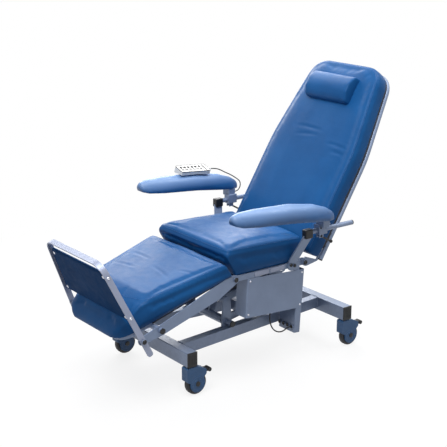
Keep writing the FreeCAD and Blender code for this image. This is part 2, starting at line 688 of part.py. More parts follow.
def seat_cushion():
    """Thick cushion with a rounded nose; its top falls to the rear and rolls over at both sides."""
    nose = SEAT_TOP - SEAT_NOSE_DROP
    middle = SEAT_NOSE_Y / 3
    fall = SEAT_FALL / (SEAT_REAR_TOP_Y - SEAT_NOSE_Y)
    outline = [(SEAT_UNDER_FRONT_Y, SEAT_BOTTOM), (SEAT_REAR_UNDER_Y, SEAT_BOTTOM),
               (SEAT_REAR_TOP_Y, SEAT_TOP - SEAT_FALL), (middle, SEAT_TOP - fall * (middle - SEAT_NOSE_Y)),
               (SEAT_NOSE_Y + 20, SEAT_TOP - 3), (SEAT_NOSE_Y, nose)]
    stations = [(1.0, 8, 22, 0), (0.985, 2, 17, 0.1), (0.955, 0, 11, 0.3), (0.85, 0, 4, 0.6)]
    stations = stations + [(0.6, 0, 0, 0.85), (0.25, 0, 0, 1)]
    stations = stations + [(-share, *rest) for share, *rest in reversed(stations)]
    wires = []
    for share, inset, drop, crown in stations:
        lower = [0, 0, drop, drop - crown * SEAT_CROWN, drop, drop]
        points = [vec(SEAT_HALF * share, y, z - less) for (y, z), less in zip(shrunk(outline, inset), lower)]
        low = SEAT_BOTTOM - points[0].z
        points = [p + vec(0, 0, low) if index < 2 else p for index, p in enumerate(points)]
        wires.append(rounded(points, [10, 10, 20, 900, 24, 22]))
    return Part.makeLoft(wires, True, True)


def in_housing(shape):
    return turned(shape, -HOUSING_TILT, HOUSING_FRONT_Y, HOUSING_TOP_FRONT)


def side_housing(side):
    """Folded sheet cover with end flanges and a lip, open to the inside, above and underneath."""
    x1 = HOUSING_X
    x0 = x1 - HOUSING_WIDE
    shell = block(x0, x1, 0, HOUSING_LONG, -HOUSING_HIGH, 0)
    folds = [e for e in shell.Edges if abs(e.BoundBox.XMin - x1) < 0.1 and e.BoundBox.ZLength > 9]
    shell = shell.makeFillet(6, folds)
    hollow = block(x0 - 1, x1 - SHEET, SHEET, HOUSING_LONG - SHEET, SHEET - HOUSING_HIGH, 1)
    open_foot = block(x0 - 1, x1 - LIP, SHEET, HOUSING_LONG - SHEET, -HOUSING_HIGH - 1, 1)
    cover = in_housing(shell.cut([hollow, open_foot]))
    return cover if side > 0 else mirrored(cover)


def control_box():
    """Closed electronics box under the left housing's rear, with a row of sockets on its front."""
    x1 = HOUSING_X - SHEET
    x0 = x1 - BOX_WIDE
    y1 = HOUSING_LONG
    y0 = y1 - BOX_DEEP
    top = -HOUSING_HIGH
    case = block(x0, x1, y0, y1, top - BOX_HIGH, top)
    case = case.makeFillet(BOX_ROUND, [e for e in case.Edges if e.BoundBox.ZMin < top - 1])
    sockets = []
    for index in range(BOX_SOCKETS):
        x = x0 + BOX_WIDE * (index + 0.5) / BOX_SOCKETS
        sockets.append(rod_y(BOX_SOCKET_R, y0 - BOX_SOCKET_LEN, y0 + 2, x, top - BOX_HIGH + BOX_SOCKET_UP))
    return in_housing(joined([case] + sockets))


# Leg rest

def leg_half(down):
    """Half width of the leg cushion at a distance below the hinge."""
    return LEG_KNEE_HALF - (LEG_KNEE_HALF - LEG_FOOT_HALF) * down / LEG_LONG


def leg_cushion():
    """Wedge that thickens and narrows to the foot, where its end rolls down below the footboard's panel."""
    low = LEG_CUSHION_UP
    straight = [LEG_KNEE_BACK, 0.1 * LEG_LONG, 0.3 * LEG_LONG, 0.5 * LEG_LONG, 0.66 * LEG_LONG]
    knee = low + LEG_KNEE_THICK
    sections = [(down, leg_half(down), low, knee + LEG_RISE * down, 1.0) for down in straight]
    for down, draw_in, lift, top, crown in LEG_END:
        sections.append((down, leg_half(down) - draw_in, low + lift, FOOT_PIVOT_UP + top, crown))
    wires = []
    for index, (down, half, base, top, crown) in enumerate(sections):
        tip = LEG_KNEE_TIP if index == 0 else 0
        edge = min(LEG_EDGE_R, 0.45 * (top - base))
        outline = [(half, base), (half, top), (0, top + crown * LEG_CROWN), (-half, top), (-half, base)]
        points = [vec(x, -down - tip * (up - base) / (top - base), up) for x, up in outline]
        wires.append(rounded(points, [edge / 2, edge, 900, edge, edge / 2]))
    return in_leg(Part.makeLoft(wires, True, True))


def leg_board_plan(grow, start):
    """Plan of the leg board from a place below the hinge to its round end, grown on all sides."""
    near = SEAT_RAIL_X - 6
    foot = LEG_FOOT_HALF - 8
    far = LEG_LONG - LEG_BOARD_SHORT
    half = near + (foot - near) * (start - LEG_KNEE_TUBE) / (far - LEG_KNEE_TUBE)
    side = [(half + grow, -start), (foot + grow, -far - grow)]
    points = [(-x, y) for x, y in side] + side[::-1]
    end = LEG_BOARD_ROUND + grow
    return Part.Face(rounded([vec(x, y, 0) for x, y in points], [0, end, end, 0]))


def leg_board():
    board = leg_board_plan(0, LEG_KNEE_TUBE - LEG_TUBE_R).extrude(vec(0, 0, LEG_BOARD_T))
    board.translate(vec(0, 0, LEG_BOARD_UP))
    return in_leg(board)


def leg_rim():
    """Angle edging round the end of the leg board, from the foot tube on."""
    inside = leg_board_plan(LEG_RIM_GAP, LEG_FOOT_TUBE)
    low = LEG_BOARD_UP - LEG_RIM_GAP - LEG_BAR_T
    wall = leg_board_plan(LEG_RIM_GAP + LEG_RIM_T, LEG_FOOT_TUBE).cut(inside)
    wall = wall.extrude(vec(0, 0, LEG_BOARD_UP + LEG_BOARD_T - GAP - low))
    lip = leg_board_plan(LEG_RIM_GAP + 1, LEG_FOOT_TUBE).cut(leg_board_plan(-LEG_RIM_LIP, LEG_FOOT_TUBE))
    rim = joined([wall, lip.extrude(vec(0, 0, LEG_BAR_T))])
    rim.translate(vec(0, 0, low))
    return rim


def leg_frame():
    """Two side bars with gussets, two cross tubes, the board's edging, and the leg rod's lever."""
    x0 = HINGE_PLATE_X
    x1 = x0 + LEG_BAR_T
    tube_up = LEG_BOARD_UP - LEG_TUBE_R
    low = LEG_BOARD_UP + LEG_BOARD_T - LEG_BAR_H
    outline = [(17, -17), (-LEG_KNEE_TUBE - LEG_GUSSET_RUN, -LEG_GUSSET_DROP),
               (-LEG_FOOT_TUBE - 10, low - 10), (-FOOT_PIVOT - 17, FOOT_PIVOT_UP - 17),
               (-FOOT_PIVOT - 17, FOOT_PIVOT_UP + 14), (-LEG_FOOT_TUBE, LEG_BOARD_UP + LEG_BOARD_T),
               (-LEG_KNEE_TUBE, LEG_BOARD_UP + LEG_BOARD_T), (17, 17)]
    bar = plate_yz(outline, [15, 60, 60, 14, 14, 20, 30, 15], x0, x1)
    bar = bar.cut(rod_x(HINGE_R + RUN, x0 - 1, x1 + 1, 0, 0))
    reach = FOOT_INNER + FOOT_BAR_T + GAP + 3
    stub = rod_x(FOOT_PIN_R, x0, reach, -FOOT_PIVOT, FOOT_PIVOT_UP)
    head = rod_x(FOOT_PIN_R + 5, reach, reach + 5, -FOOT_PIVOT, FOOT_PIVOT_UP)
    pieces = [bar, stub, head]
    pieces += [mirrored(piece) for piece in pieces]
    knee_tube = rod_x(LEG_TUBE_R, -x1, x1, -LEG_KNEE_TUBE, tube_up)
    foot_half = x1 + 10
    foot_tube = rod_x(LEG_TUBE_R, -foot_half, foot_half, -LEG_FOOT_TUBE, tube_up)
    frame = joined(pieces + [knee_tube, foot_tube, leg_rim()])
    bore = LEG_TUBE_R - TUBE_WALL
    frame = frame.cut(rod_x(bore, -foot_half - 1, foot_half + 1, -LEG_FOOT_TUBE, tube_up))
    return in_leg(joined([frame] + leg_levers(tube_up)))


def leg_levers(tube_up):
    """Pair of slotted plates from the knee tube to the rod line below the hinge."""
    swing = (LEG_TURN[1] - LEG_TURN[0]) / 2
    middle = sum(LEG_TURN) / 2
    lever = slotted_lever(SEAT_ROD_DROP, swing, LEG_PLAY)
    pair = [turned(one, 180 + middle - LEG_SLOPE, 0, 0) for one in (lever, mirrored(lever))]
    arms = []
    for one in pair:
        one.translate(vec(-SIDE_ACTUATOR_X, 0, 0))
        box = one.BoundBox
        arm = link_yz((-LEG_KNEE_TUBE, tube_up), (0, -SEAT_ROD_DROP / 2), 12, box.XMin, box.XMax)
        arms.append(one.cut(block(-BEYOND, BEYOND, -60, 60, -30, 60)))
        arms.append(arm)
    return arms


def leg_plug(side):
    """Plug in the end of the leg rest's foot tube."""
    tube_up = LEG_BOARD_UP - LEG_TUBE_R
    end = HINGE_PLATE_X + LEG_BAR_T + 10
    cap = rod_x(LEG_TUBE_R, end, end + 4, -LEG_FOOT_TUBE, tube_up)
    spigot = rod_x(LEG_TUBE_R - TUBE_WALL - SPIGOT_GAP, end - PLUG_SPIGOT, end, -LEG_FOOT_TUBE, tube_up)
    plug = in_leg(joined([cap, spigot]))
    return plug if side > 0 else mirrored(plug)


# Footboard

def in_foot(shape):
    copy = turned(shape, FOOT_LEAN, -FOOT_PIVOT, FOOT_PIVOT_UP)
    return in_leg(copy)


def foot_half(up):
    """Inner half width of the footboard frame at a height above its pivot."""
    return FOOT_INNER - FOOT_NARROWING * up


def foot_path(inset, top, low):
    """Inverted U that narrows upwards, drawn in from the bar's inner face."""
    points = [vec(foot_half(low) - inset, 0, low), vec(foot_half(top) - inset, 0, top),
              vec(-foot_half(top) + inset, 0, top), vec(-foot_half(low) + inset, 0, low)]
    return points


def footboard_frame():
    """Flat bar bent to an inverted U, with round lower ends."""
    half = FOOT_BAR_W / 2
    outer = foot_path(-FOOT_BAR_T, FOOT_RISE, -FOOT_DROP)
    inner = foot_path(0, FOOT_RISE - FOOT_BAR_T, -FOOT_DROP - 1)
    big = Part.Face(rounded(outer, [4, FOOT_CORNER_R, FOOT_CORNER_R, 4]))
    small = Part.Face(rounded(inner, [0, FOOT_CORNER_R - FOOT_BAR_T, FOOT_CORNER_R - FOOT_BAR_T, 0]))
    bar = big.cut(small).extrude(vec(0, FOOT_BAR_W, 0))
    bar.translate(vec(0, -half, 0))
    wide = foot_half(-FOOT_DROP) + FOOT_BAR_T + 5
    ends = [rod_x(half, x0, x0 + 60, 0, half - FOOT_DROP) for x0 in (wide - 60, -wide)]
    tips = block(-wide, wide, -half - 1, half + 1, -FOOT_DROP - 2, half - FOOT_DROP)
    bar = bar.cut(tips.cut(ends))
    return in_foot(bar.cut(rod_x(FOOT_PIN_R + RUN, -BEYOND, BEYOND, 0, 0)))


def footboard_panel():
    """Padded board held between the posts, with a hand gap under the top bar."""
    top = FOOT_RISE - FOOT_BAR_T - GRIP_GAP
    outline = foot_path(0, top, PANEL_LOW)
    wire = rounded(outline, [6, 34, 34, 6])
    panel = Part.Face(wire).extrude(vec(0, PANEL_T, 0))
    panel.translate(vec(0, -PANEL_T / 2, 0))
    return in_foot(panel)


# Back

def back_outline(inset, low, top_inset):
    """Half-round-shouldered outline of the back, drawn in from the cushion's edge."""
    half = BACK_HALF - inset
    top = BACK_TOP - top_inset
    top_half = BACK_TOP_HALF - inset
    right = [(half, low), (half, BACK_BEND), (top_half, top)]
    return right + [(-x, z) for x, z in reversed(right)]


def back_section(y, inset):
    points = [vec(x, y, z) for x, z in back_outline(inset, BACK_FOOT + inset, inset)]
    round_top = max(BACK_CORNER_R - inset, 20)
    return rounded(points, [24, BACK_BEND_R, round_top, round_top, BACK_BEND_R, 24])


def back_cushion():
    """Long cushion with drawn-in sides, a soft front edge and a low crown."""
    rear = BOARD_BACK
    front = -BACK_FRONT
    deep = BACK_THICK
    sections = [(rear, 7), (rear - 0.12 * deep, 1), (front + 0.3 * deep, 0), (front + 0.13 * deep, 4),
                (front + 0.03 * deep, 15), (front, 36), (front - 0.6 * BACK_CROWN, 90),
                (front - BACK_CROWN, 170)]
    wires = [back_section(y, inset) for y, inset in sections]
    return in_back(Part.makeLoft(wires, True, True))


def back_board():
    points = [vec(x, BOARD_BACK, z) for x, z in back_outline(12, BACK_FOOT + BACK_BOARD_FOOT, 12)]
    round_top = BACK_CORNER_R - 12
    wire = rounded(points, [16, BACK_BEND_R, round_top, round_top, BACK_BEND_R, 16])
    return in_back(Part.Face(wire).extrude(vec(0, BACK_BOARD_T, 0)))


def back_frame():
    """Bent tube round the back's edge, two cross tubes, hinge plates and the rod lever."""
    inset = BACK_HALF - BACK_TUBE_X
    low = BACK_TUBE_FOOT
    points = [vec(x, BACK_TUBE_Y, z) for x, z in back_outline(inset, low, inset)]
    radius = BACK_CORNER_R - inset
    path = rounded(points, [0, BACK_BEND_R, radius, radius, BACK_BEND_R, 0], False)
    loop = pipe(path, BACK_TUBE_R, BACK_TUBE_WALL)
    pieces = []
    for z in (low + BACK_BAR_UP, BACK_BEND):
        bar = rod_x(BACK_TUBE_R - 1, -BACK_TUBE_X, BACK_TUBE_X, BACK_TUBE_Y, z)
        pieces.append(bar.cut(rod_x(BACK_TUBE_R - 3, -BACK_TUBE_X, BACK_TUBE_X, BACK_TUBE_Y, z)))
    bore = BACK_TUBE_R - BACK_TUBE_WALL
    keep_open = [rod_z(bore, low - 1, BACK_BEND + 30, x, BACK_TUBE_Y) for x in (-BACK_TUBE_X, BACK_TUBE_X)]
    behind = BOARD_BACK + 2
    ahead = BACK_TUBE_Y - BACK_TUBE_R - 1
    wall = BACK_TUBE_Y - 4
    high = BACK_FOOT + BACK_BOARD_FOOT - 2
    outline = [(-15, -15), (15, -15), (ahead, 34), (ahead, low + 1), (wall, low + 1), (wall, high),
               (behind, high), (behind, BACK_FOOT - 3), (-15, BACK_FOOT - 18)]
    plate = plate_yz(outline, [14, 30, 10, 0, 0, 0, 0, 6, 14], HINGE_PLATE_X, HINGE_PLATE_X + HINGE_PLATE_T)
    plate = plate.cut(rod_x(HINGE_R + RUN, HINGE_PLATE_X - 1, HINGE_PLATE_X + HINGE_PLATE_T + 1, 0, 0))
    pieces = [piece.cut(keep_open) for piece in pieces + [plate, mirrored(plate)]]
    return in_back(joined([loop] + pieces + back_levers(low + BACK_BAR_UP)))


def back_levers(bar_z):
    """Pair of slotted plates from the lower cross tube to the rod line below the hinge."""
    swing = (BACK_TURN[1] - BACK_TURN[0]) / 2
    middle = sum(BACK_TURN) / 2
    lever = slotted_lever(SEAT_ROD_DROP, swing, BACK_PLAY)
    pair = [turned(one, 180 + BACK_LEAN + middle, 0, 0) for one in (lever, mirrored(lever))]
    pieces = []
    for one in pair:
        one.translate(vec(SIDE_ACTUATOR_X, 0, 0))
        box = one.BoundBox
        bend = (SEAT_ROD_DROP * 0.62 * sin(radians(BACK_LEAN + middle)),
                -SEAT_ROD_DROP * 0.62 * cos(radians(BACK_LEAN + middle)))
        arm = link_yz((BACK_TUBE_Y, bar_z - 4), bend, 12, box.XMin, box.XMax)
        cut_low = turned(block(-BEYOND, BEYOND, -90, 90, -SEAT_ROD_DROP * 0.5, 90), BACK_LEAN + middle, 0, 0)
        pieces.append(one.cut(cut_low))
        bore = rod_x(BACK_TUBE_R - 3, -BEYOND, BEYOND, BACK_TUBE_Y, bar_z)
        pieces.append(arm.cut(bore))
    return pieces


def back_plug(side):
    """Plug in the lower end of the back tube."""
    cap = rod_z(BACK_TUBE_R, BACK_TUBE_FOOT - 5, BACK_TUBE_FOOT, BACK_TUBE_X, BACK_TUBE_Y)
    inner = BACK_TUBE_R - BACK_TUBE_WALL - SPIGOT_GAP
    spigot = rod_z(inner, BACK_TUBE_FOOT, BACK_TUBE_FOOT + 18, BACK_TUBE_X, BACK_TUBE_Y)
    plug = in_back(joined([cap, spigot]))
    return plug if side > 0 else mirrored(plug)


def head_pillow(cushion):
    """Half-round bolster with flat ends, lying on the cushion."""
    base = -BACK_FRONT + 6
    low = PILLOW_LOW
    high = PILLOW_LOW + PILLOW_HIGH
    front = -BACK_FRONT - BACK_CROWN - PILLOW_DEEP
    middle = (low + high) / 2
    stations = [(1.0, 8), (0.965, 1), (0.5, 0)]
    stations = stations + [(-share, inset) for share, inset in reversed(stations)]
    wires = []
    for share, inset in stations:
        x = PILLOW_HALF * share
        edge = front + 0.42 * PILLOW_DEEP
        points = [vec(x, base, low + inset), vec(x, edge, low + inset), vec(x, front + inset, middle - 22),
                  vec(x, front + inset, middle + 22), vec(x, edge, high - inset),
                  vec(x, base, high - inset)]
        wires.append(rounded(points, [6, 26, 24, 24, 26, 6]))
    return in_back(Part.makeLoft(wires, True, True)).cut(cushion)


# Arm rests

def arm_post(side):
    """Flat bar bolted to the seat rail and bent outwards to the arm tube."""
    inner = SEAT_RAIL_X
    outer = ARM_TUBE_X - POST_T / 2
    lean = radians(POST_LEAN)
    long = (ARM_TUBE_Z - ARM_TUBE_R - 1 - POST_FOOT_Z - POST_W / 2 * sin(lean)) / cos(lean)
    points = [vec(inner, 0, 0), vec(inner, 0, POST_FOOT), vec(outer, 0, long), vec(outer + POST_T, 0, long),
              vec(inner + POST_T, 0, POST_FOOT), vec(inner + POST_T, 0, 0)]
    wire = rounded(points, [0, 30, 0, 0, 30 - POST_T, 0])
    post = Part.Face(wire).extrude(vec(0, POST_W, 0))
    post.translate(vec(0, -POST_W / 2, 0))
    toe = rod_x(POST_W / 2, inner - 1, inner + POST_T + 1, 0, POST_W / 2)
    low = block(inner - 1, inner + POST_T + 1, -POST_W, POST_W, -1, POST_W / 2)
    post = post.cut(low.cut(toe))
    bolts = [rod_x(6, inner + POST_T, inner + POST_T + 4, y, 26) for y in (-11, 11)]
    post = turned(joined([post] + bolts), -POST_LEAN, POST_FOOT_Y, POST_FOOT_Z)
    return post if side > 0 else mirrored(post)


def arm_tube(side):
    tube = rod_y(ARM_TUBE_R, ARM_TUBE_FRONT, ARM_TUBE_REAR, ARM_TUBE_X, ARM_TUBE_Z)
    tube = tube.cut(rod_y(ARM_TUBE_R - 2, ARM_TUBE_FRONT - 1, ARM_TUBE_REAR + 1, ARM_TUBE_X, ARM_TUBE_Z))
    return tube if side > 0 else mirrored(tube)


def arm_socket(side, post, tube):
    """Moulded socket that holds the front of the arm tube on the post's top."""
    half = SOCKET_SIDE / 2
    y1 = ARM_TUBE_FRONT + SOCKET_LEN - 6
    low = ARM_TUBE_Z - ARM_TUBE_R - SOCKET_DROP
    case = block(ARM_TUBE_X - half, ARM_TUBE_X + half, y1 - SOCKET_LEN, y1, low, ARM_TUBE_Z + half)
    case = case.makeFillet(5, case.Edges)
    bore = rod_y(ARM_TUBE_R, ARM_TUBE_FRONT, y1 + 1, ARM_TUBE_X, ARM_TUBE_Z)
    case = case.cut(bore)
    case = case if side > 0 else mirrored(case)
    return case.cut([post, tube])


def arm_tube_plug(side):
    """Plug in the rear end of an arm tube."""
    cap = rod_y(ARM_TUBE_R, ARM_TUBE_REAR, ARM_TUBE_REAR + 6, ARM_TUBE_X, ARM_TUBE_Z)
    cap = cap.makeFillet(2, [cap.Edges[0]])
    spigot = rod_y(ARM_TUBE_R - 2 - SPIGOT_GAP, ARM_TUBE_REAR - 16, ARM_TUBE_REAR, ARM_TUBE_X, ARM_TUBE_Z)
    plug = joined([cap, spigot])
    return plug if side > 0 else mirrored(plug)


def arm_pad(side, plate):
    """Long pad with a crowned top that falls to the rear, lofted through rounded sections."""
    wires = []
    for y, half, rise, z in PAD_STATIONS:
        waist = z + 0.35 * rise
        crown = 0.45 * half
        outline = [(half, z - rise), (half, waist), (crown, z + rise)]
        outline += [(-x, up) for x, up in reversed(outline)]
        small = min(half, rise)
        radii = [0.35 * small, 0.3 * small, 0.5 * small]
        wires.append(rounded([vec(PAD_X + x, y, up) for x, up in outline], radii + radii[::-1]))
    pad = Part.makeLoft(wires, True, True)
    pad = pad if side > 0 else mirrored(pad)
    return pad.cut(plate)


def arm_clamp(side):
    """Clamp block that slides on the arm tube and carries the pad on a sloping plate."""
    half = CLAMP_SIDE / 2
    y0 = CLAMP_Y
    y1 = y0 + CLAMP_LEN
    case = block(ARM_TUBE_X - half, ARM_TUBE_X + half, y0, y1, ARM_TUBE_Z - half, ARM_TUBE_Z + half + 8)
    case = case.makeFillet(4, [e for e in case.Edges if e.BoundBox.YLength > 10])
    neck = block(ARM_TUBE_X - 12, PAD_X + 16, y0 + 6, y1 - 6, ARM_TUBE_Z + half, ARM_TUBE_Z + half + 50)
    plate = block(PAD_X - 20, PAD_X + 20, -190, 40, 0, PLATE_T)
    corners = [e for e in plate.Edges if e.BoundBox.ZLength > 1 and e.BoundBox.XLength < 1]
    plate = plate.makeFillet(12, corners)
    plate = turned(plate, PLATE_SLOPE, y0 + 10, PLATE_Z)
    above = turned(block(PAD_X - 60, PAD_X + 60, -90, 90, PLATE_T, 90), PLATE_SLOPE, y0 + 10, PLATE_Z)
    ears = [block(x0, x0 + 5, y0 + 8, y0 + 32, ARM_TUBE_Z - half - 16, ARM_TUBE_Z - half + 1)
            for x0 in (ARM_TUBE_X - 11, ARM_TUBE_X + 6)]
    pin = rod_x(3, ARM_TUBE_X - 8, ARM_TUBE_X + 8, *lever_pivot())
    gland = rod_y(GLAND_R, y1 - 8, gland_end()[0], PAD_X, gland_end()[1])
    body = joined([case, neck.cut(above), plate] + ears + [pin, gland])
    body = body.cut(rod_y(ARM_TUBE_R + RUN, y0 - 1, y1 + 1, ARM_TUBE_X, ARM_TUBE_Z))
    return body if side > 0 else mirrored(body)


def gland_end():
    """Y and Z of the face where the handset's cord meets the clamp."""
    return CLAMP_Y + CLAMP_LEN - 6 + GLAND_LEN, ARM_TUBE_Z + GLAND_UP


def lever_pivot():
    return CLAMP_Y + 20, ARM_TUBE_Z - CLAMP_SIDE / 2 - 9


def clamp_lever(side):
    """Thin locking lever with a ball end, on a pin between the clamp's ears."""
    y, z = lever_pivot()
    hub = rod_x(6, ARM_TUBE_X - 5, ARM_TUBE_X + 5, 0, 0)
    bar = rod_y(LEVER_R, 0, LEVER_REACH, ARM_TUBE_X, 0)
    knob = Part.makeSphere(LEVER_R + 4, vec(ARM_TUBE_X, LEVER_REACH, 0))
    lever = joined([hub, bar, knob]).cut(rod_x(3 + RUN, ARM_TUBE_X - 6, ARM_TUBE_X + 6, 0, 0))
    lever = turned(lever, LEVER_REST, y, z)
    return lever if side > 0 else mirrored(lever)


# Handset

def pad_top(y):
    """Height of the pad's crown at a place along it."""
    for (y0, _, rise0, z0), (y1, _, rise1, z1) in zip(PAD_STATIONS, PAD_STATIONS[1:]):
        if y0 <= y <= y1:
            share = (y - y0) / (y1 - y0)
            return z0 + rise0 + share * (z1 + rise1 - z0 - rise0)


def on_pad(shape):
    """From the handset's own frame, with its top face at Z = 0, to its place on the right pad."""
    copy = shape.copy()
    copy.rotate(vec(0, 0, -HANDSET_STANDS / 2), Y_AXIS, HANDSET_ROLL)
    copy = turned(copy, -HANDSET_TILT, HANDSET_Y, pad_top(HANDSET_Y) + HANDSET_STANDS)
    copy.translate(vec(-PAD_X, 0, 0))
    return copy


def key_places():
    pitch = (HANDSET_LONG - HANDSET_TAIL) / KEY_COUNT
    start = -HANDSET_LONG / 2 + 8 + pitch / 2
    return [start + index * pitch for index in range(KEY_COUNT)]


def handset_case(pad):
    """Hand control that lies on the right pad, with a well for each rocker key."""
    half = HANDSET_WIDE / 2
    long = HANDSET_LONG / 2
    case = block(-half, half, -long, long, -HANDSET_HIGH, 0)
    case = case.makeFillet(6, [e for e in case.Edges if e.BoundBox.ZLength > 5])
    case = case.makeFillet(3, [e for e in case.Edges if e.BoundBox.ZMin > -0.1])
    wide = KEY_WIDE / 2 + KEY_GAP
    deep = KEY_LONG / 2 + KEY_GAP
    pins = []
    for y in key_places():
        case = case.cut(block(-deep, deep, y - wide, y + wide, -KEY_HIGH, 1))
        pins.append(rod_y(KEY_PIN_R, y - wide - 1, y + wide + 1, 0, -KEY_HIGH / 2))
    relief = Part.makeCone(6, CORD_R + 1, RELIEF_LEN, vec(0, long - 1, -HANDSET_STANDS / 2), Y_AXIS)
    return on_pad(joined([case, relief] + pins)).cut(pad)


def handset_key(y):
    """Rocker key, raised at both ends, on a pin along the handset."""
    half = KEY_LONG / 2
    mid = -KEY_HIGH / 2
    outline = [vec(-half, 0, mid + 2), vec(-half, 0, 2.5), vec(0, 0, -0.5), vec(half, 0, 2.5),
               vec(half, 0, mid + 2), vec(0, 0, mid - 2.5)]
    key = Part.Face(rounded(outline, [0, 1.5, 30, 1.5, 0, 3])).extrude(vec(0, KEY_WIDE, 0))
    key.translate(vec(0, y - KEY_WIDE / 2, 0))
    return on_pad(key.cut(rod_y(KEY_PIN_R + RUN, y - KEY_WIDE, y + KEY_WIDE, 0, mid)))


# Cords

def cord_wire(points):
    """Straight runs joined by arcs as large as the runs allow; prints the least radius."""
    places = [vec(*p) for p in points]
    radii = [0]
    for before, here, after in zip(places, places[1:], places[2:]):
        short = min((here - before).Length, (after - here).Length)
        turn = pi - (before - here).getAngle(after - here)
        radii.append(0.45 * short / tan(turn / 2))
    radii.append(0)
    return rounded(places, radii, False), radii[1:-1]


def cord(name, points, radius):
    wire, radii = cord_wire(points)
    tube = pipe(wire, radius, 0)
    share = tube.Volume / (pi * radius * radius * wire.Length)
    print(name, "length", round(wire.Length, 1), "least radius", round(min(radii), 1))
    print(name, "volume over section times length", round(share, 4))
    return tube


def control_cable():
    """Cable that loops from the left housing's lip to the outermost socket of the control box."""
    x = HOUSING_X - SHEET - BOX_WIDE / BOX_SOCKETS / 2
    low = -HOUSING_HIGH
    way = [(CABLE_LIP_Y, low)] + CABLE_WAY
    way.append((HOUSING_LONG - BOX_DEEP - BOX_SOCKET_LEN, low - BOX_HIGH + BOX_SOCKET_UP))
    return in_housing(cord("control_cable", [(x, y, z) for y, z in way], CABLE_R))


def handset_cord():
    """Cord from the handset over the right pad's tail and back to the gland on the clamp."""
    tip = on_pad(Part.Vertex(0, HANDSET_LONG / 2 - 1 + RELIEF_LEN, -HANDSET_STANDS / 2)).Point
    way = [(tip.y, tip.z)] + CORD_WAY + [gland_end()]
    return cord("handset_cord", [(-PAD_X, y, z) for y, z in way], CORD_R)


def both(maker, *rest):
    return [maker(1, *rest), maker(-1, *rest)]


def build():
    """Every node of the chair, by name."""
    nodes = {}
    nodes["front_crossbar"] = crossbar(FRONT_BAR_Y)
    nodes["rear_crossbar"] = crossbar(REAR_BAR_Y)
    rail = base_rail()
    nodes["base_rails"] = [rail, mirrored(rail)]
    nodes["base_end_plugs"] = [bar_plug(side, y) for side in (1, -1) for y in (FRONT_BAR_Y, REAR_BAR_Y)]
    nodes["base_end_plugs"] += both(lift_plug)
    nodes["lift_cross_tube"] = lift_tube()
    nodes["lift_uprights"] = both(lift_upright)
    nodes["lift_stand"] = lift_stand()
    nodes["lift_actuator"] = actuator(0, LIFT_ROD_Z, LIFT_Y, LIFT_DRIVE, 1)
    nodes["lift_rod"] = actuator_rod(0, LIFT_ROD_Z, LIFT_Y, LIFT_DRIVE, 1, LIFT_PIN_Y)
    nodes["lower_lift_arms"] = lift_arms_lower()
    nodes["upper_lift_arms"] = both(lift_arm_upper)
    nodes["seat_frame"] = seat_frame()
    nodes["seat_cushion"] = seat_cushion()
    nodes["side_housings"] = both(side_housing)
    nodes["control_box"] = control_box()
    nodes["control_cable"] = control_cable()
    leg_drive = (-SIDE_ACTUATOR_X, ROD_Z, LEG_HINGE_Y, LEG_DRIVE, 1)
    back_drive = (SIDE_ACTUATOR_X, ROD_Z, BACK_HINGE_Y, BACK_DRIVE, -1)
    nodes["leg_actuator"] = actuator(*leg_drive)
    nodes["back_actuator"] = actuator(*back_drive)
    nodes["leg_rod"] = actuator_rod(*leg_drive, LEG_PIN_Y)
    nodes["back_rod"] = actuator_rod(*back_drive, BACK_PIN_Y)
    nodes["leg_frame"] = leg_frame()
    nodes["leg_board"] = leg_board()
    nodes["leg_cushion"] = leg_cushion()
    nodes["leg_tube_plugs"] = both(leg_plug)
    nodes["footboard_frame"] = footboard_frame()
    nodes["footboard_panel"] = footboard_panel()
    nodes["back_frame"] = back_frame()
    nodes["back_board"] = back_board()
    nodes["back_cushion"] = back_cushion()
    nodes["back_tube_plugs"] = both(back_plug)
    nodes["head_pillow"] = head_pillow(nodes["back_cushion"])
    nodes["arm_posts"] = both(arm_post)
    nodes["arm_tubes"] = both(arm_tube)
    fittings = []
    for side, post, tube in zip((1, -1), nodes["arm_posts"], nodes["arm_tubes"]):
        fittings += [arm_socket(side, post, tube), arm_tube_plug(side)]
    nodes["arm_tube_fittings"] = fittings
    for side, name in ((1, "left"), (-1, "right")):
        nodes[name + "_arm_clamp"] = arm_clamp(side)
        nodes[name + "_arm_pad"] = arm_pad(side, nodes[name + "_arm_clamp"])
        nodes[name + "_clamp_lever"] = clamp_lever(side)
    nodes["handset_case"] = handset_case(nodes["right_arm_pad"])
    for index, y in enumerate(key_places()):
        nodes["handset_key_" + str(index + 1)] = handset_key(y)
    nodes["handset_cord"] = handset_cord()
    for end, y in (("front", FRONT_BAR_Y), ("rear", REAR_BAR_Y)):
        for side, x in (("left", STEM_X), ("right", -STEM_X)):
            name = end + "_" + side
            nodes[name + "_caster_fork"] = caster_fork(x, y)
            nodes[name + "_caster_wheel"] = caster_wheel(x, y)
            nodes[name + "_caster_pedal"] = caster_pedal(x, y)
    return nodes


def main():
    os.makedirs("parts", exist_ok=True)
    for name, shape in build().items():
        if isinstance(shape, list):
            shape = Part.makeCompound(shape)
        shape.translate(vec(0, ORIGIN_SHIFT, 0))
        shape.exportStep("parts/" + name + ".step")


if __name__ == "__main__":
    main()
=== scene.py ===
"""Looks of a dialysis chair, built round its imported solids."""

import json
import logging
import math
from dataclasses import dataclass, field
from enum import Enum
from functools import cached_property, partial
from typing import Callable, Sequence

import bpy
import numpy as np
from mathutils import Matrix, Vector

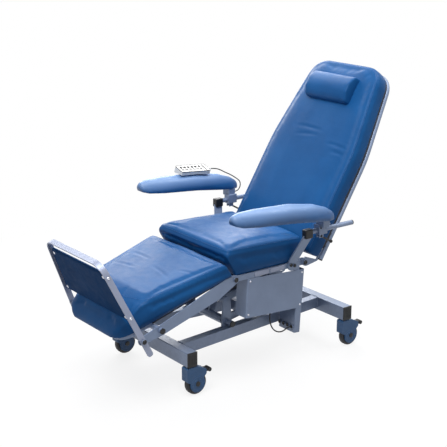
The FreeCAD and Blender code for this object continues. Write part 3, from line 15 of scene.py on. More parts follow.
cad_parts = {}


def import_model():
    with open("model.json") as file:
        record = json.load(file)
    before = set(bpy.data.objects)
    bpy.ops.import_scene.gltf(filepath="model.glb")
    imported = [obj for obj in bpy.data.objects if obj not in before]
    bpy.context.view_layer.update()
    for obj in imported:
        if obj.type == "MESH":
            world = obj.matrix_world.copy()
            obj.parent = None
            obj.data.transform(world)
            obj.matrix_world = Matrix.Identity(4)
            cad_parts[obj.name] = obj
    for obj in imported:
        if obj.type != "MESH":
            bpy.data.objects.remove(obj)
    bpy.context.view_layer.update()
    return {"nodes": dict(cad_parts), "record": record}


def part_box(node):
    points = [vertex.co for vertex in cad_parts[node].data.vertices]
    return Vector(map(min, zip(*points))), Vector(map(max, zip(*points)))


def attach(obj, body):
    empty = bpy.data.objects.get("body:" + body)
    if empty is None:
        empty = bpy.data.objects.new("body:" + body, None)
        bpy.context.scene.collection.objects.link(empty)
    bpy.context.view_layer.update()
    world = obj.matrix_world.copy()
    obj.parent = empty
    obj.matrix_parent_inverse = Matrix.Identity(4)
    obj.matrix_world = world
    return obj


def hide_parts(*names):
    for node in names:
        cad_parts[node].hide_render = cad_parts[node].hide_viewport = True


LOG = logging.getLogger("dialysis_chair")
Colour = tuple[float, float, float]
Place = tuple[float, float, float]
Socket = bpy.types.NodeSocket
Thing = bpy.types.Object
WHITE = (1.0, 1.0, 1.0)
SHIFT_Y = 0.0611  # from the source's origin to the chair's middle
BARS_Y = (-0.473, 0.418)  # middles of the crossbars, before that shift
SIDES = (("left", 1.0), ("right", -1.0))
LEFT, RIGHT = (1.0, 1.0, 1.0), (-1.0, 1.0, 1.0)  # factors of X, Y and Z
FORWARD, REARWARD = (0.0, -1.0, 0.0), (0.0, 1.0, 0.0)
UP = np.array([0.0, 0.0, 1.0])
SKEW = np.array([0.31, 0.52, 0.79])  # a direction that no bead runs along


def srgb(red: int, green: int, blue: int) -> Colour:
    """Linear colour of an sRGB triple.

    Args:
        red: Red from 0 to 255.
        green: Green from 0 to 255.
        blue: Blue from 0 to 255.

    Returns:
        The three linear values.
    """
    values = np.array([red, green, blue]) / 255.0
    linear = np.where(values <= 0.04045, values / 12.92, ((values + 0.055) / 1.055) ** 2.4)
    return tuple(float(v) for v in linear)


def scaled(colour: Colour, factor: float) -> Colour:
    """The colour, darker or lighter by a factor."""
    return tuple(min(1.0, factor * c) for c in colour)


class Tone(Enum):
    """Main colours, read from the photograph."""

    VINYL = srgb(25, 84, 140)
    VINYL_DEEP = srgb(20, 76, 130)
    # painted shade: the blue vinyl darkened for the footboard panel's shaded face
    PANEL = srgb(18, 64, 112)
    STEEL = srgb(128, 144, 172)
    STEEL_DUST = srgb(96, 100, 116)
    BAR = srgb(150, 158, 180)
    CASTER = srgb(48, 84, 124)
    BLACK = srgb(20, 21, 25)
    TYRE = srgb(28, 29, 33)
    DRIVE = srgb(72, 76, 86)
    HANDSET = srgb(222, 222, 220)
    BOARD = srgb(46, 48, 58)
    THREAD = srgb(70, 108, 164)
    # painted highlight: the pale glare colour of the arm pads' tops
    RUBBED = srgb(128, 160, 206)
    SCREW = srgb(206, 208, 216)
    CHROME = srgb(210, 212, 218)


@dataclass(frozen=True)
class LocalFrame:
    """A frame that leans about X, as the leg rest and the back do.

    Args:
        y: Place of its origin along Y, before the shift to the chair's middle.
        z: Height of its origin.
        lean: Turn about X in degrees.
    """

    y: float
    z: float
    lean: float

    @property
    def axes(self) -> np.ndarray:
        """Rows are the frame's own axes in the chair's frame."""
        c, s = math.cos(math.radians(self.lean)), math.sin(math.radians(self.lean))
        return np.array([[1, 0, 0], [0, c, s], [0, -s, c]], float)

    @property
    def origin(self) -> np.ndarray:
        """Place of the frame's origin in the chair's frame."""
        return np.array([0.0, self.y + SHIFT_Y, self.z])

    def out(self, points: np.ndarray) -> np.ndarray:
        """Points of this frame in the chair's frame."""
        return np.asarray(points, float) @ self.axes + self.origin

    def into(self, points: np.ndarray) -> np.ndarray:
        """Points of the chair's frame in this frame."""
        return (np.asarray(points, float) - self.origin) @ self.axes.T

    def way(self, direction: Sequence[float]) -> np.ndarray:
        """A direction of this frame in the chair's frame."""
        return np.asarray(direction, float) @ self.axes

    def child(self, y: float, z: float, lean: float) -> "LocalFrame":
        """A frame at a place of this one, leaning further."""
        place = self.out((0.0, y, z))
        return LocalFrame(place[1] - SHIFT_Y, place[2], self.lean + lean)


WORLD = LocalFrame(0.0, 0.0, 0.0)
LEG = LocalFrame(-0.226, 0.4635, 20.5)
FOOT = LEG.child(-0.506, 0.020, 3.0)
BACK = LocalFrame(0.165, 0.4635, -32.0)
HOUSING = LocalFrame(-0.155, 0.451, -3.6)
POST = LocalFrame(0.084, 0.440, -17.0)
HANDSET = LocalFrame(0.0, 0.802, -5.0)


class Graph:
    """Adds shader nodes to a material or a world."""

    def __init__(self, owner: bpy.types.ID) -> None:
        """Starts with the nodes that a new material or world has."""
        owner.use_nodes = True
        self.tree = owner.node_tree
        self.nodes = self.tree.nodes

    @cached_property
    def place(self) -> Socket:
        """The Object coordinates."""
        return self.node("TexCoord").outputs["Object"]

    def feed(self, socket: Socket, value: object) -> None:
        """Links a socket to another one, or sets it to a plain value."""
        if isinstance(value, Socket):
            self.tree.links.new(value, socket)
        else:
            socket.default_value = (*value, 1.0) if socket.type == "RGBA" else value

    def fill(self, node: bpy.types.Node, **sockets: object) -> None:
        """Feeds a node's inputs by their names, with _ for a space."""
        for key, value in sockets.items():
            self.feed(node.inputs[key.replace("_", " ")], value)

    def set(self, **sockets: object) -> None:
        """Feeds the inputs of the material's shader."""
        self.fill(self.nodes["Principled BSDF"], **sockets)

    def node(self, kind: str, *values: object, operation: str = "", **sockets: object) -> bpy.types.Node:
        """Adds a node.

        Args:
            kind: Its type, without the start that all types share.
            values: What its first inputs get, in their order.
            operation: Its operation, if it has one.
            sockets: What other inputs get, by their names.

        Returns:
            The new node.
        """
        new = self.nodes.new("ShaderNode" + kind)
        if operation:
            new.operation = operation
        for socket, value in zip(new.inputs, values):
            self.feed(socket, value)
        self.fill(new, **sockets)
        return new

    def noise(self, scale: float, detail: float = 3.0, vector: Socket | None = None) -> Socket:
        """Height of a noise field with about `scale` features to the metre."""
        return self.node("TexNoise", Vector=vector or self.place, Scale=scale, Detail=detail).outputs["Fac"]

    def cells(self, scale: float) -> Socket:
        """Distance from the middle of each cell of a grain."""
        return self.node("TexVoronoi", Vector=self.place, Scale=scale).outputs["Distance"]

    def stretched(self, factors: Place) -> Socket:
        """The place, stretched along the axes."""
        return self.node("Mapping", Vector=self.place, Scale=factors).outputs["Vector"]

    def along(self, axis: str) -> Socket:
        """The place along one axis."""
        return self.node("SeparateXYZ", Vector=self.place).outputs[axis]

    def math(self, operation: str, one: Socket, two: object) -> Socket:
        """Result of a sum, product or other operation on two values."""
        return self.node("Math", one, two, operation=operation).outputs["Value"]

    def away(self, centre: Place, factors: Place = (1.0, 1.0, 1.0)) -> Socket:
        """Distance from a centre, with each axis weighed by a factor."""
        offset = self.node("VectorMath", self.place, centre, operation="SUBTRACT").outputs["Vector"]
        weighed = self.node("VectorMath", offset, factors, operation="MULTIPLY").outputs["Vector"]
        return self.node("VectorMath", weighed, operation="LENGTH").outputs["Value"]

    def mix(self, share: Socket, one: object, two: object) -> Socket:
        """Colour that goes from one to two as the share goes from 0 to 1."""
        new = self.node("Mix", share)
        new.data_type = "RGBA"
        self.feed(new.inputs[6], one)
        self.feed(new.inputs[7], two)
        return new.outputs[2]

    def ramp(self, source: Socket, low: tuple[float, Colour], high: tuple[float, Colour]) -> Socket:
        """Colour that goes from a low stop's to a high stop's as the source goes from one's place to the other's."""
        new = self.node("ValToRGB", Fac=source)
        for element, (position, colour) in zip(new.color_ramp.elements, (low, high)):
            element.position = position
            element.color = (*colour, 1.0)
        return new.outputs["Color"]

    def spread(self, source: Socket, low: float, high: float, start: float = 0.3, stop: float = 0.7) -> Socket:
        """The source, taken from start..stop to low..high."""
        return self.node("MapRange", source, start, stop, low, high).outputs["Result"]

    def bump(self, height: Socket, distance: float, strength: float, under: Socket | None = None) -> Socket:
        """Normal that follows a height, over another normal where one is given."""
        new = self.node("Bump", Height=height, Distance=distance, Strength=strength)
        if under is not None:
            self.feed(new.inputs["Normal"], under)
        return new.outputs["Normal"]

    def seen(self) -> Socket:
        """A value that is 1 for rays that show the surroundings, and 0 for rays that light the chair."""
        path = self.node("LightPath").outputs
        shown = self.math("MAXIMUM", path["Is Camera Ray"], path["Is Glossy Ray"])
        return self.math("MAXIMUM", shown, path["Is Transmission Ray"])

    def blend(self, share: Socket, one: bpy.types.Node, two: bpy.types.Node, output: str) -> None:
        """Gives an output node a mix of two shaders."""
        mix = self.node("MixShader", share, one.outputs[0], two.outputs[0])
        self.fill(self.nodes[output], Surface=mix.outputs[0])


@dataclass(frozen=True)
class Finish:
    """A named material, whose nodes each kind of finish adds."""

    name: str
    colour: Colour

    def wire(self, g: Graph) -> None:
        """Adds the nodes; a plain finish has its colour only."""
        g.set(Base_Color=self.colour)

    def build(self) -> bpy.types.Material:
        """Makes the material.

        Returns:
            The new material.
        """
        material = bpy.data.materials.new(self.name)
        self.wire(Graph(material))
        return material


@dataclass(frozen=True)
class Vinyl(Finish):
    """Coated upholstery: pebble grain, slow colour drift, soft dents, pulled lines and rubbed patches."""

    deep: Colour
    dents: float = 0.0010
    gloss: float = 0.42
    shine: float = 0.13

    def wire(self, g: Graph) -> None:
        """Adds the nodes of the cover."""
        drift = g.ramp(g.noise(5.0, 4.0), (0.34, self.deep), (0.66, self.colour))
        rubbed = g.spread(g.noise(11.0, 6.0), 0.0, 0.16, 0.52, 0.78)
        # the arm pads' vinyl adds its painted highlight here
        g.set(Base_Color=self.with_painted_highlight(g, g.mix(rubbed, drift, scaled(self.colour, 1.5))))
        g.set(Roughness=g.spread(g.noise(38.0, 5.0), self.gloss - 0.06, self.gloss + 0.08))
        dents = g.bump(g.noise(15.0, 2.0), self.dents, 0.5)
        pulls = g.bump(g.noise(1.0, 3.0, g.stretched((8.0, 30.0, 30.0))), self.dents, 0.35, dents)
        g.set(Normal=g.bump(g.cells(950.0), 0.00022, 0.3, pulls), Specular_IOR_Level=self.shine)

    def with_painted_highlight(self, g: Graph, colour: Socket) -> Socket:
        """The colour as it is, since only the arm pads' vinyl gets a painted highlight."""
        return colour


@dataclass(frozen=True)
class ArmVinyl(Vinyl):
    """Vinyl of an arm pad, with a painted highlight: paler above a level that falls to the rear as the pad does."""

    # painted highlight colour, mixed in on the pads' upper part
    pale: Colour = Tone.RUBBED.value
    fall: float = 0.06
    level: float = 0.714
    depth: float = 0.046
    most: float = 0.72

    def with_painted_highlight(self, g: Graph, colour: Socket) -> Socket:
        """Mixes the paler colour, a painted highlight, in above the level, more with height."""
        height = g.math("ADD", g.math("MULTIPLY", g.along("Y"), self.fall), g.along("Z"))
        low = self.level + self.fall * SHIFT_Y
        return g.mix(g.spread(height, 0.0, self.most, low, low + self.depth), colour, self.pale)


@dataclass(frozen=True)
class Paint(Finish):
    """Sprayed steel: orange peel, faint mottling, scuffs, and dust that gathers low down."""

    dust: Colour
    metallic: float = 0.2
    scuffs: float = 0.3
    peel: float = 0.35

    def wire(self, g: Graph) -> None:
        """Adds the nodes of the paint."""
        mottle = g.ramp(g.noise(14.0, 6.0), (0.3, scaled(self.colour, 0.9)), (0.7, self.colour))
        scuff = g.spread(g.noise(1.0, 8.0, g.stretched((260.0, 40.0, 160.0))), 0.0, self.scuffs, 0.66, 0.78)
        worn = g.mix(scuff, mottle, scaled(self.colour, 1.4))
        low = g.spread(g.along("Z"), 0.0, 0.45, 0.26, 0.12)
        share = g.math("MULTIPLY", low, g.spread(g.noise(90.0, 6.0), 0.2, 1.0))
        g.set(Base_Color=g.mix(share, worn, self.dust), Metallic=self.metallic)
        g.set(Roughness=g.spread(g.noise(60.0, 4.0), 0.32, 0.5))
        g.set(Normal=g.bump(g.noise(620.0, 2.0), 0.0001, self.peel), Coat_Weight=0.4 * self.peel, Coat_Roughness=0.22)


@dataclass(frozen=True)
class Metal(Finish):
    """Bare or plated metal with drawn lines and smudges."""

    smooth: float
    lines: float

    def wire(self, g: Graph) -> None:
        """Adds the nodes of the metal."""
        drawn = g.noise(1.0, 5.0, g.stretched((60.0, 900.0, 60.0)))
        smudge = g.noise(26.0, 5.0)
        g.set(Base_Color=g.ramp(smudge, (0.3, scaled(self.colour, 0.86)), (0.7, self.colour)))
        g.set(Metallic=1.0, Roughness=g.spread(smudge, self.smooth, self.smooth + 0.16))
        g.set(Normal=g.bump(drawn, 0.0001, self.lines))


@dataclass(frozen=True)
class Plastic(Finish):
    """Moulded plastic or rubber with a spark-eroded grain."""

    rough: float
    grain: float = 780.0
    depth: float = 0.00012

    def wire(self, g: Graph) -> None:
        """Adds the nodes of the plastic."""
        pale = tuple(min(1.0, 1.12 * c + 0.004) for c in self.colour)
        g.set(Base_Color=g.ramp(g.noise(24.0, 5.0), (0.32, self.colour), (0.72, pale)))
        g.set(Roughness=g.spread(g.noise(70.0, 4.0), self.rough - 0.07, self.rough + 0.08))
        g.set(Normal=g.bump(g.noise(self.grain, 3.0), self.depth, 0.5), Specular_IOR_Level=0.4)


@dataclass(frozen=True)
class WheelFinish(Finish):
    """Black tyre round a blue-grey hub, told apart by the distance from the axle."""

    centre: Place
    rim: float = 0.0365

    def wire(self, g: Graph) -> None:
        """Adds the nodes of hub and tyre."""
        radius = g.away(self.centre, (0.0, 1.0, 1.0))
        tyre = g.spread(radius, 0.0, 1.0, self.rim - 0.0004, self.rim + 0.0004)
        worn = g.ramp(g.noise(60.0, 6.0), (0.35, Tone.TYRE.value), (0.75, scaled(Tone.TYRE.value, 2.2)))
        g.set(Base_Color=g.mix(tyre, self.colour, worn))
        g.set(Roughness=g.spread(g.noise(80.0, 4.0), 0.5, 0.72))
        g.set(Normal=g.bump(g.noise(520.0, 3.0), 0.00018, 0.5))


@dataclass
class Finishes:
    """Every material of the chair, built once."""

    made: dict[str, bpy.types.Material] = field(default_factory=dict)

    def build(self) -> None:
        """Makes the materials."""
        wanted = [
            Vinyl("blue_vinyl", Tone.VINYL.value, Tone.VINYL_DEEP.value),
            # arm pads: vinyl with a painted highlight on their tops
            ArmVinyl("pad_vinyl_painted_highlight", Tone.VINYL.value, Tone.VINYL_DEEP.value, 0.0010, 0.44, 0.6),
            # footboard panel: the blue vinyl darkened, painted shade
            Vinyl("panel_vinyl_painted_shade", Tone.PANEL.value, scaled(Tone.PANEL.value, 0.8), 0.0004, 0.6, 0.04),
            Paint("grey_paint", Tone.STEEL.value, Tone.STEEL_DUST.value),
            Paint("bar_paint", Tone.BAR.value, Tone.STEEL_DUST.value, 0.35, 0.06, 0.0),
            Metal("bright_screw", Tone.SCREW.value, 0.2, 0.2),
            Metal("chromed_rod", Tone.CHROME.value, 0.08, 0.15),
            Plastic("black_plastic", Tone.BLACK.value, 0.42),
            Plastic("drive_plastic", Tone.DRIVE.value, 0.5),
            Plastic("caster_plastic", Tone.CASTER.value, 0.44),
            Plastic("handset_plastic", Tone.HANDSET.value, 0.34),
            Plastic("cord_rubber", Tone.BLACK.value, 0.5, 1500.0, 0.0001),
            Plastic("board", Tone.BOARD.value, 0.6, 260.0, 0.0003),
            Plastic("thread", Tone.THREAD.value, 0.7, 2600.0, 0.00005),
        ]
        self.made = {finish.name: finish.build() for finish in wanted}

    def __getitem__(self, name: str) -> bpy.types.Material:
        """The material of a name."""
        return self.made[name]


FINISHES = Finishes()


class Look(Enum):
    """Finish and record's slot of the small pieces."""

    DARK = ("black_plastic", "black_plastic")
    SCREW = ("bright_screw", "chromed_rod")
    CASTER = ("caster_plastic", "caster_plastic")
    PAINT = ("grey_paint", "painted_steel")
    BAR = ("bar_paint", "bright_steel")
    THREAD = ("thread", "blue_upholstery")


def linked(name: str, data: bpy.types.ID) -> Thing:
    """A new object of some data, linked to the scene."""
    made = bpy.data.objects.new(name, data)
    bpy.context.scene.collection.objects.link(made)
    return made


def new_object(name: str, points: np.ndarray, faces: list, material: bpy.types.Material) -> Thing:
    """A smooth mesh object at the origin.

    Args:
        name: Its name.
        points: Corners in the chair's frame, one to a row.
        faces: Lists of corner numbers.
        material: Its only material.

    Returns:
        The linked object.
    """
    mesh = bpy.data.meshes.new(name)
    mesh.from_pydata(np.asarray(points, float).tolist(), [], faces)
    mesh.polygons.foreach_set("use_smooth", np.ones(len(mesh.polygons), bool))
    mesh.materials.append(material)
    mesh.update()
    return linked(name, mesh)


def grid_faces(rows: int, columns: int, closed: bool = False) -> np.ndarray:
    """Four-sided faces of a grid whose columns close on themselves, and its rows too where asked."""
    row, column = np.meshgrid(np.arange(rows if closed else rows - 1), np.arange(columns), indexing="ij")
    after, above = (column + 1) % columns, (row + 1) % rows
    corners = [row * columns + column, row * columns + after, above * columns + after, above * columns + column]
    return np.stack(corners, -1).reshape(-1, 4)


def circle(sides: int) -> np.ndarray:
    """Cosine and sine of even steps once round, one step to a row."""
    angle = np.linspace(0, 2 * np.pi, sides, endpoint=False)
    return np.stack([np.cos(angle), np.sin(angle)], -1)


def unit(vectors: np.ndarray) -> np.ndarray:
    """Vectors along the last axis, brought to length one."""
    vectors = np.asarray(vectors, float)
    return vectors / np.linalg.norm(vectors, axis=-1, keepdims=True)


def side_axes(way: np.ndarray) -> np.ndarray:
    """Two unit vectors, as rows, square to a direction and to each other."""
    helper = UP if abs(unit(way)[2]) < 0.8 else np.array([1.0, 0.0, 0.0])
    first = unit(np.cross(helper, way))
    return np.stack([first, np.cross(unit(way), first)])


def resampled(path: np.ndarray, step: float) -> np.ndarray:
    """Points about one step apart along straight runs between the path's points."""
    path = np.asarray(path, float)
    reach = np.concatenate([[0.0], np.cumsum(np.linalg.norm(np.diff(path, axis=0), axis=1))])
    at = np.linspace(0.0, reach[-1], max(2, int(reach[-1] / step)))
    return np.stack([np.interp(at, reach, path[:, axis]) for axis in range(3)], -1)


@dataclass
class Parts:
    """Gathers many small closed shapes into one mesh."""

    points: list[np.ndarray] = field(default_factory=list)
    faces: list[list[int]] = field(default_factory=list)
    count: int = 0

    def add(self, points: np.ndarray, closed: bool = False) -> None:
        """Adds a grid of rings; an open row of rings gets a flat face at each end.

        Args:
            points: Rows of rings, each ring running right-handed about the row's direction.
            closed: Whether the last ring joins the first.
        """
        rows, columns = points.shape[:2]
        quads = grid_faces(rows, columns, closed) + self.count
        self.faces += quads.tolist()
        if not closed:
            ring = np.arange(columns) + self.count
            self.faces += [ring[::-1].tolist(), (ring + (rows - 1) * columns).tolist()]
        self.points.append(points.reshape(-1, 3))
        self.count += rows * columns

    def turned(self, centre: np.ndarray, way: np.ndarray, profile: Sequence[tuple[float, float]],
               sides: int = 20) -> None:
        """A turned shape: each profile pair is a radius and a height along `way`, swept once round."""
        radius, height = np.array(profile, float).T[:, :, None, None]
        self.add(np.asarray(centre) + radius * (circle(sides) @ side_axes(way)) + height * unit(way))

    def pad(self, centre: np.ndarray, axes: np.ndarray, half: tuple[float, float], high: float,
            sides: int = 24, power: float = 4.0) -> None:
        """A low pad with a rounded-rectangle plan.

        Its outline is the superellipse |x/a|^p + |y/b|^p = 1, drawn in a little as it rises to its flat top.

        Args:
            centre: Middle of its foot.
            axes: Rows along its width, its length and its height.
            half: Half its width and half its length.
            high: Its height.
            sides: Corners round the outline.
            power: Squareness of the outline.
        """
        outline = circle(sides)
        outline = np.sign(outline) * np.abs(outline) ** (2.0 / power) * np.array(half)
        share = np.array([1.0, 1.0, 0.94, 0.82])[:, None, None]
        rise = np.array([0.0, 0.55, 0.9, 1.0])[:, None, None] * high
        self.add(np.asarray(centre) + share * (outline @ axes[:2]) + rise * axes[2])

    def along(self, path: np.ndarray, radius: np.ndarray | float, sides: int = 8, closed: bool = False) -> None:
        """A round bead along a path: at each point a circle square to the path's direction there."""
        path = np.asarray(path, float)
        way = unit(np.roll(path, -1, 0) - np.roll(path, 1, 0) if closed else np.gradient(path, axis=0))
        first = unit(np.cross(way, SKEW))
        ring = circle(sides) @ np.stack([first, np.cross(way, first)], 1)
        self.add(path[:, None] + np.broadcast_to(radius, len(path))[:, None, None] * ring, closed)

    def ring(self, centre: np.ndarray, way: np.ndarray, radius: float, bead: float, sides: int = 40) -> None:
        """A round bead bent to a circle about `way`."""
        self.along(np.asarray(centre) + radius * (circle(sides) @ side_axes(way)), bead, 6, True)

    def weld(self, path: np.ndarray, bead: float = 0.0022) -> None:
        """A rippled weld along straight runs: its radius swells and shrinks every 4 mm."""
        points = resampled(path, 0.001)
        ripple = 1.0 + 0.16 * np.sin(np.arange(len(points)) * 2 * np.pi / 4)
        self.along(points, bead * ripple, 8)

    def piece(self, name: str, body: str, look: Look) -> None:
        """Makes the gathered mesh one piece that rides on a body."""
        finish, slot = look.value
        made = new_object(name, np.concatenate(self.points), self.faces, FINISHES[finish])
        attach(made, body)
        LOG.info("made %s", name)


def screw(radius: float) -> list[tuple[float, float]]:
    """Profile of a washer and a round head with a socket, for the head's radius."""
    shape = [(1.3, 0.0), (1.3, 0.10), (1.0, 0.16), (1.0, 0.42), (0.9, 0.55), (0.62, 0.62), (0.5, 0.6), (0.47, 0.3)]
    return [(r * radius, h * radius) for r, h in shape]


def dome(radius: float, high: float) -> list[tuple[float, float]]:
    """Profile of a low cap with a rounded rim."""
    return [(radius, 0.0), (radius, 0.45 * high), (0.93 * radius, 0.78 * high), (0.6 * radius, 0.95 * high),
            (0.2 * radius, high)]


def mouth(radius: float) -> list[tuple[float, float]]:
    """Profile of a collar round a hole."""
    return [(radius, 0.0), (radius, 0.0016), (radius - 0.0013, 0.0022), (radius - 0.0027, 0.0019),
            (radius - 0.0031, 0.0004)]


@dataclass(frozen=True)
class Heads:
    """One piece made of screws, bolts, caps or collars.

    Args:
        name: Its name.
        body: The body it rides on.
        look: Its finish and its slot.
        local: Frame of the places.
        places: Where the heads of the left side sit.
        radius: Radius of the heads, one for all or one for each.
        sides: Corners round a head.
        way: Direction that the heads of the left side face, in that frame.
        mirrors: Factors of X, Y and Z for each copy of the set.
        profile: Gives a head's profile for its radius.
    """

    name: str
    body: str
    look: Look
    local: LocalFrame
    places: Sequence[Place]
    radius: float | tuple[float, ...]
    sides: int = 20
    way: Place = (1.0, 0.0, 0.0)
    mirrors: tuple[Place, ...] = (LEFT, RIGHT)
    profile: Callable[[float], list[tuple[float, float]]] = screw

    def dress(self) -> None:
        """Makes the piece."""
        heads = Parts()
        for mirror in np.array(self.mirrors):
            way = self.local.way(mirror * self.way)
            for place, radius in zip(self.places, np.broadcast_to(self.radius, len(self.places))):
                heads.turned(self.local.out(mirror * place), way, self.profile(radius), self.sides)
        heads.piece(self.name, self.body, self.look)


@dataclass(frozen=True)
class Crease:
    """A shallow pulled line on a cushion between two places of its own plane."""

    start: tuple[float, float]
    end: tuple[float, float]
    depth: float = 0.0015
    width: float = 0.007
    bow: float = 0.004


@dataclass(frozen=True)
class Seam:
    """A sewn edge where a plane cuts the cushion: height = base + slope * place along Y.

    Args:
        base: Height of the plane at the origin.
        slope: Its rise along Y.
        depth: Depth of the groove.
        width: Width of the groove.
        row: Height of the stitches above the plane.
        pitch: Step from stitch to stitch.
        thread: Radius of a stitch.
        proud: How far the stitches stand off the cover.
    """

    base: float
    slope: float = 0.0
    depth: float = 0.0022
    width: float = 0.004
    row: float = 0.007
    pitch: float = 0.0065
    thread: float = 0.0007
    proud: float = 0.0004


@dataclass(frozen=True)
class PadDome:
    """Rounds an arm pad's sections.

    Each point keeps its angle about the middle of its section's foot, and its distance from there is scaled
    from the solid's outline, a wall and a sloping shoulder, to the oval |u|^p + |v|^p = 1.

    Args:
        x: Middle of the pad.
        stations: Place along Y, half width, half height and middle height of its sections.
        shoulder: Where the wall ends, as a share of the height.
        lean: Run of the shoulder for each unit of its rise.
        power: Squareness of the oval.
    """

    x: float
    stations: tuple = ((-0.312, 0.014, 0.009, 0.757), (-0.301, 0.031, 0.022, 0.757), (-0.268, 0.042, 0.032, 0.757),
                       (-0.190, 0.048, 0.038, 0.753), (0.0, 0.049, 0.042, 0.740), (0.137, 0.047, 0.040, 0.719),
                       (0.215, 0.040, 0.031, 0.701), (0.250, 0.028, 0.020, 0.690), (0.262, 0.012, 0.008, 0.687))
    shoulder: float = 0.675
    lean: float = 1.692
    power: float = 2.0

    def shaped(self, points: np.ndarray) -> np.ndarray:
        """The points of the solid's surface, moved to the rounded one.

        Args:
            points: Places on the solid.

        Returns:
            Places on the rounded pad.
        """
        y, *sizes = np.array(self.stations).T
        half, rise, middle = (np.interp(points[:, 1] - SHIFT_Y, y, size) for size in sizes)
        across = (points[:, 0] - self.x) / half
        up = (points[:, 2] - middle + rise) / (2 * rise)
        angle = np.arctan2(np.maximum(up, 0), np.abs(across))
        c, s = np.maximum(np.cos(angle), 1e-6), np.maximum(np.sin(angle), 1e-6)
        slope = (1 + self.shoulder * self.lean) / (c + self.lean * s)
        solid = np.minimum(np.minimum(1 / c, 1 / s), slope)
        ratio = (c**self.power + s**self.power) ** (-1 / self.power) / solid
        return np.column_stack([self.x + across * ratio * half, points[:, 1], middle - rise + up * ratio * 2 * rise])


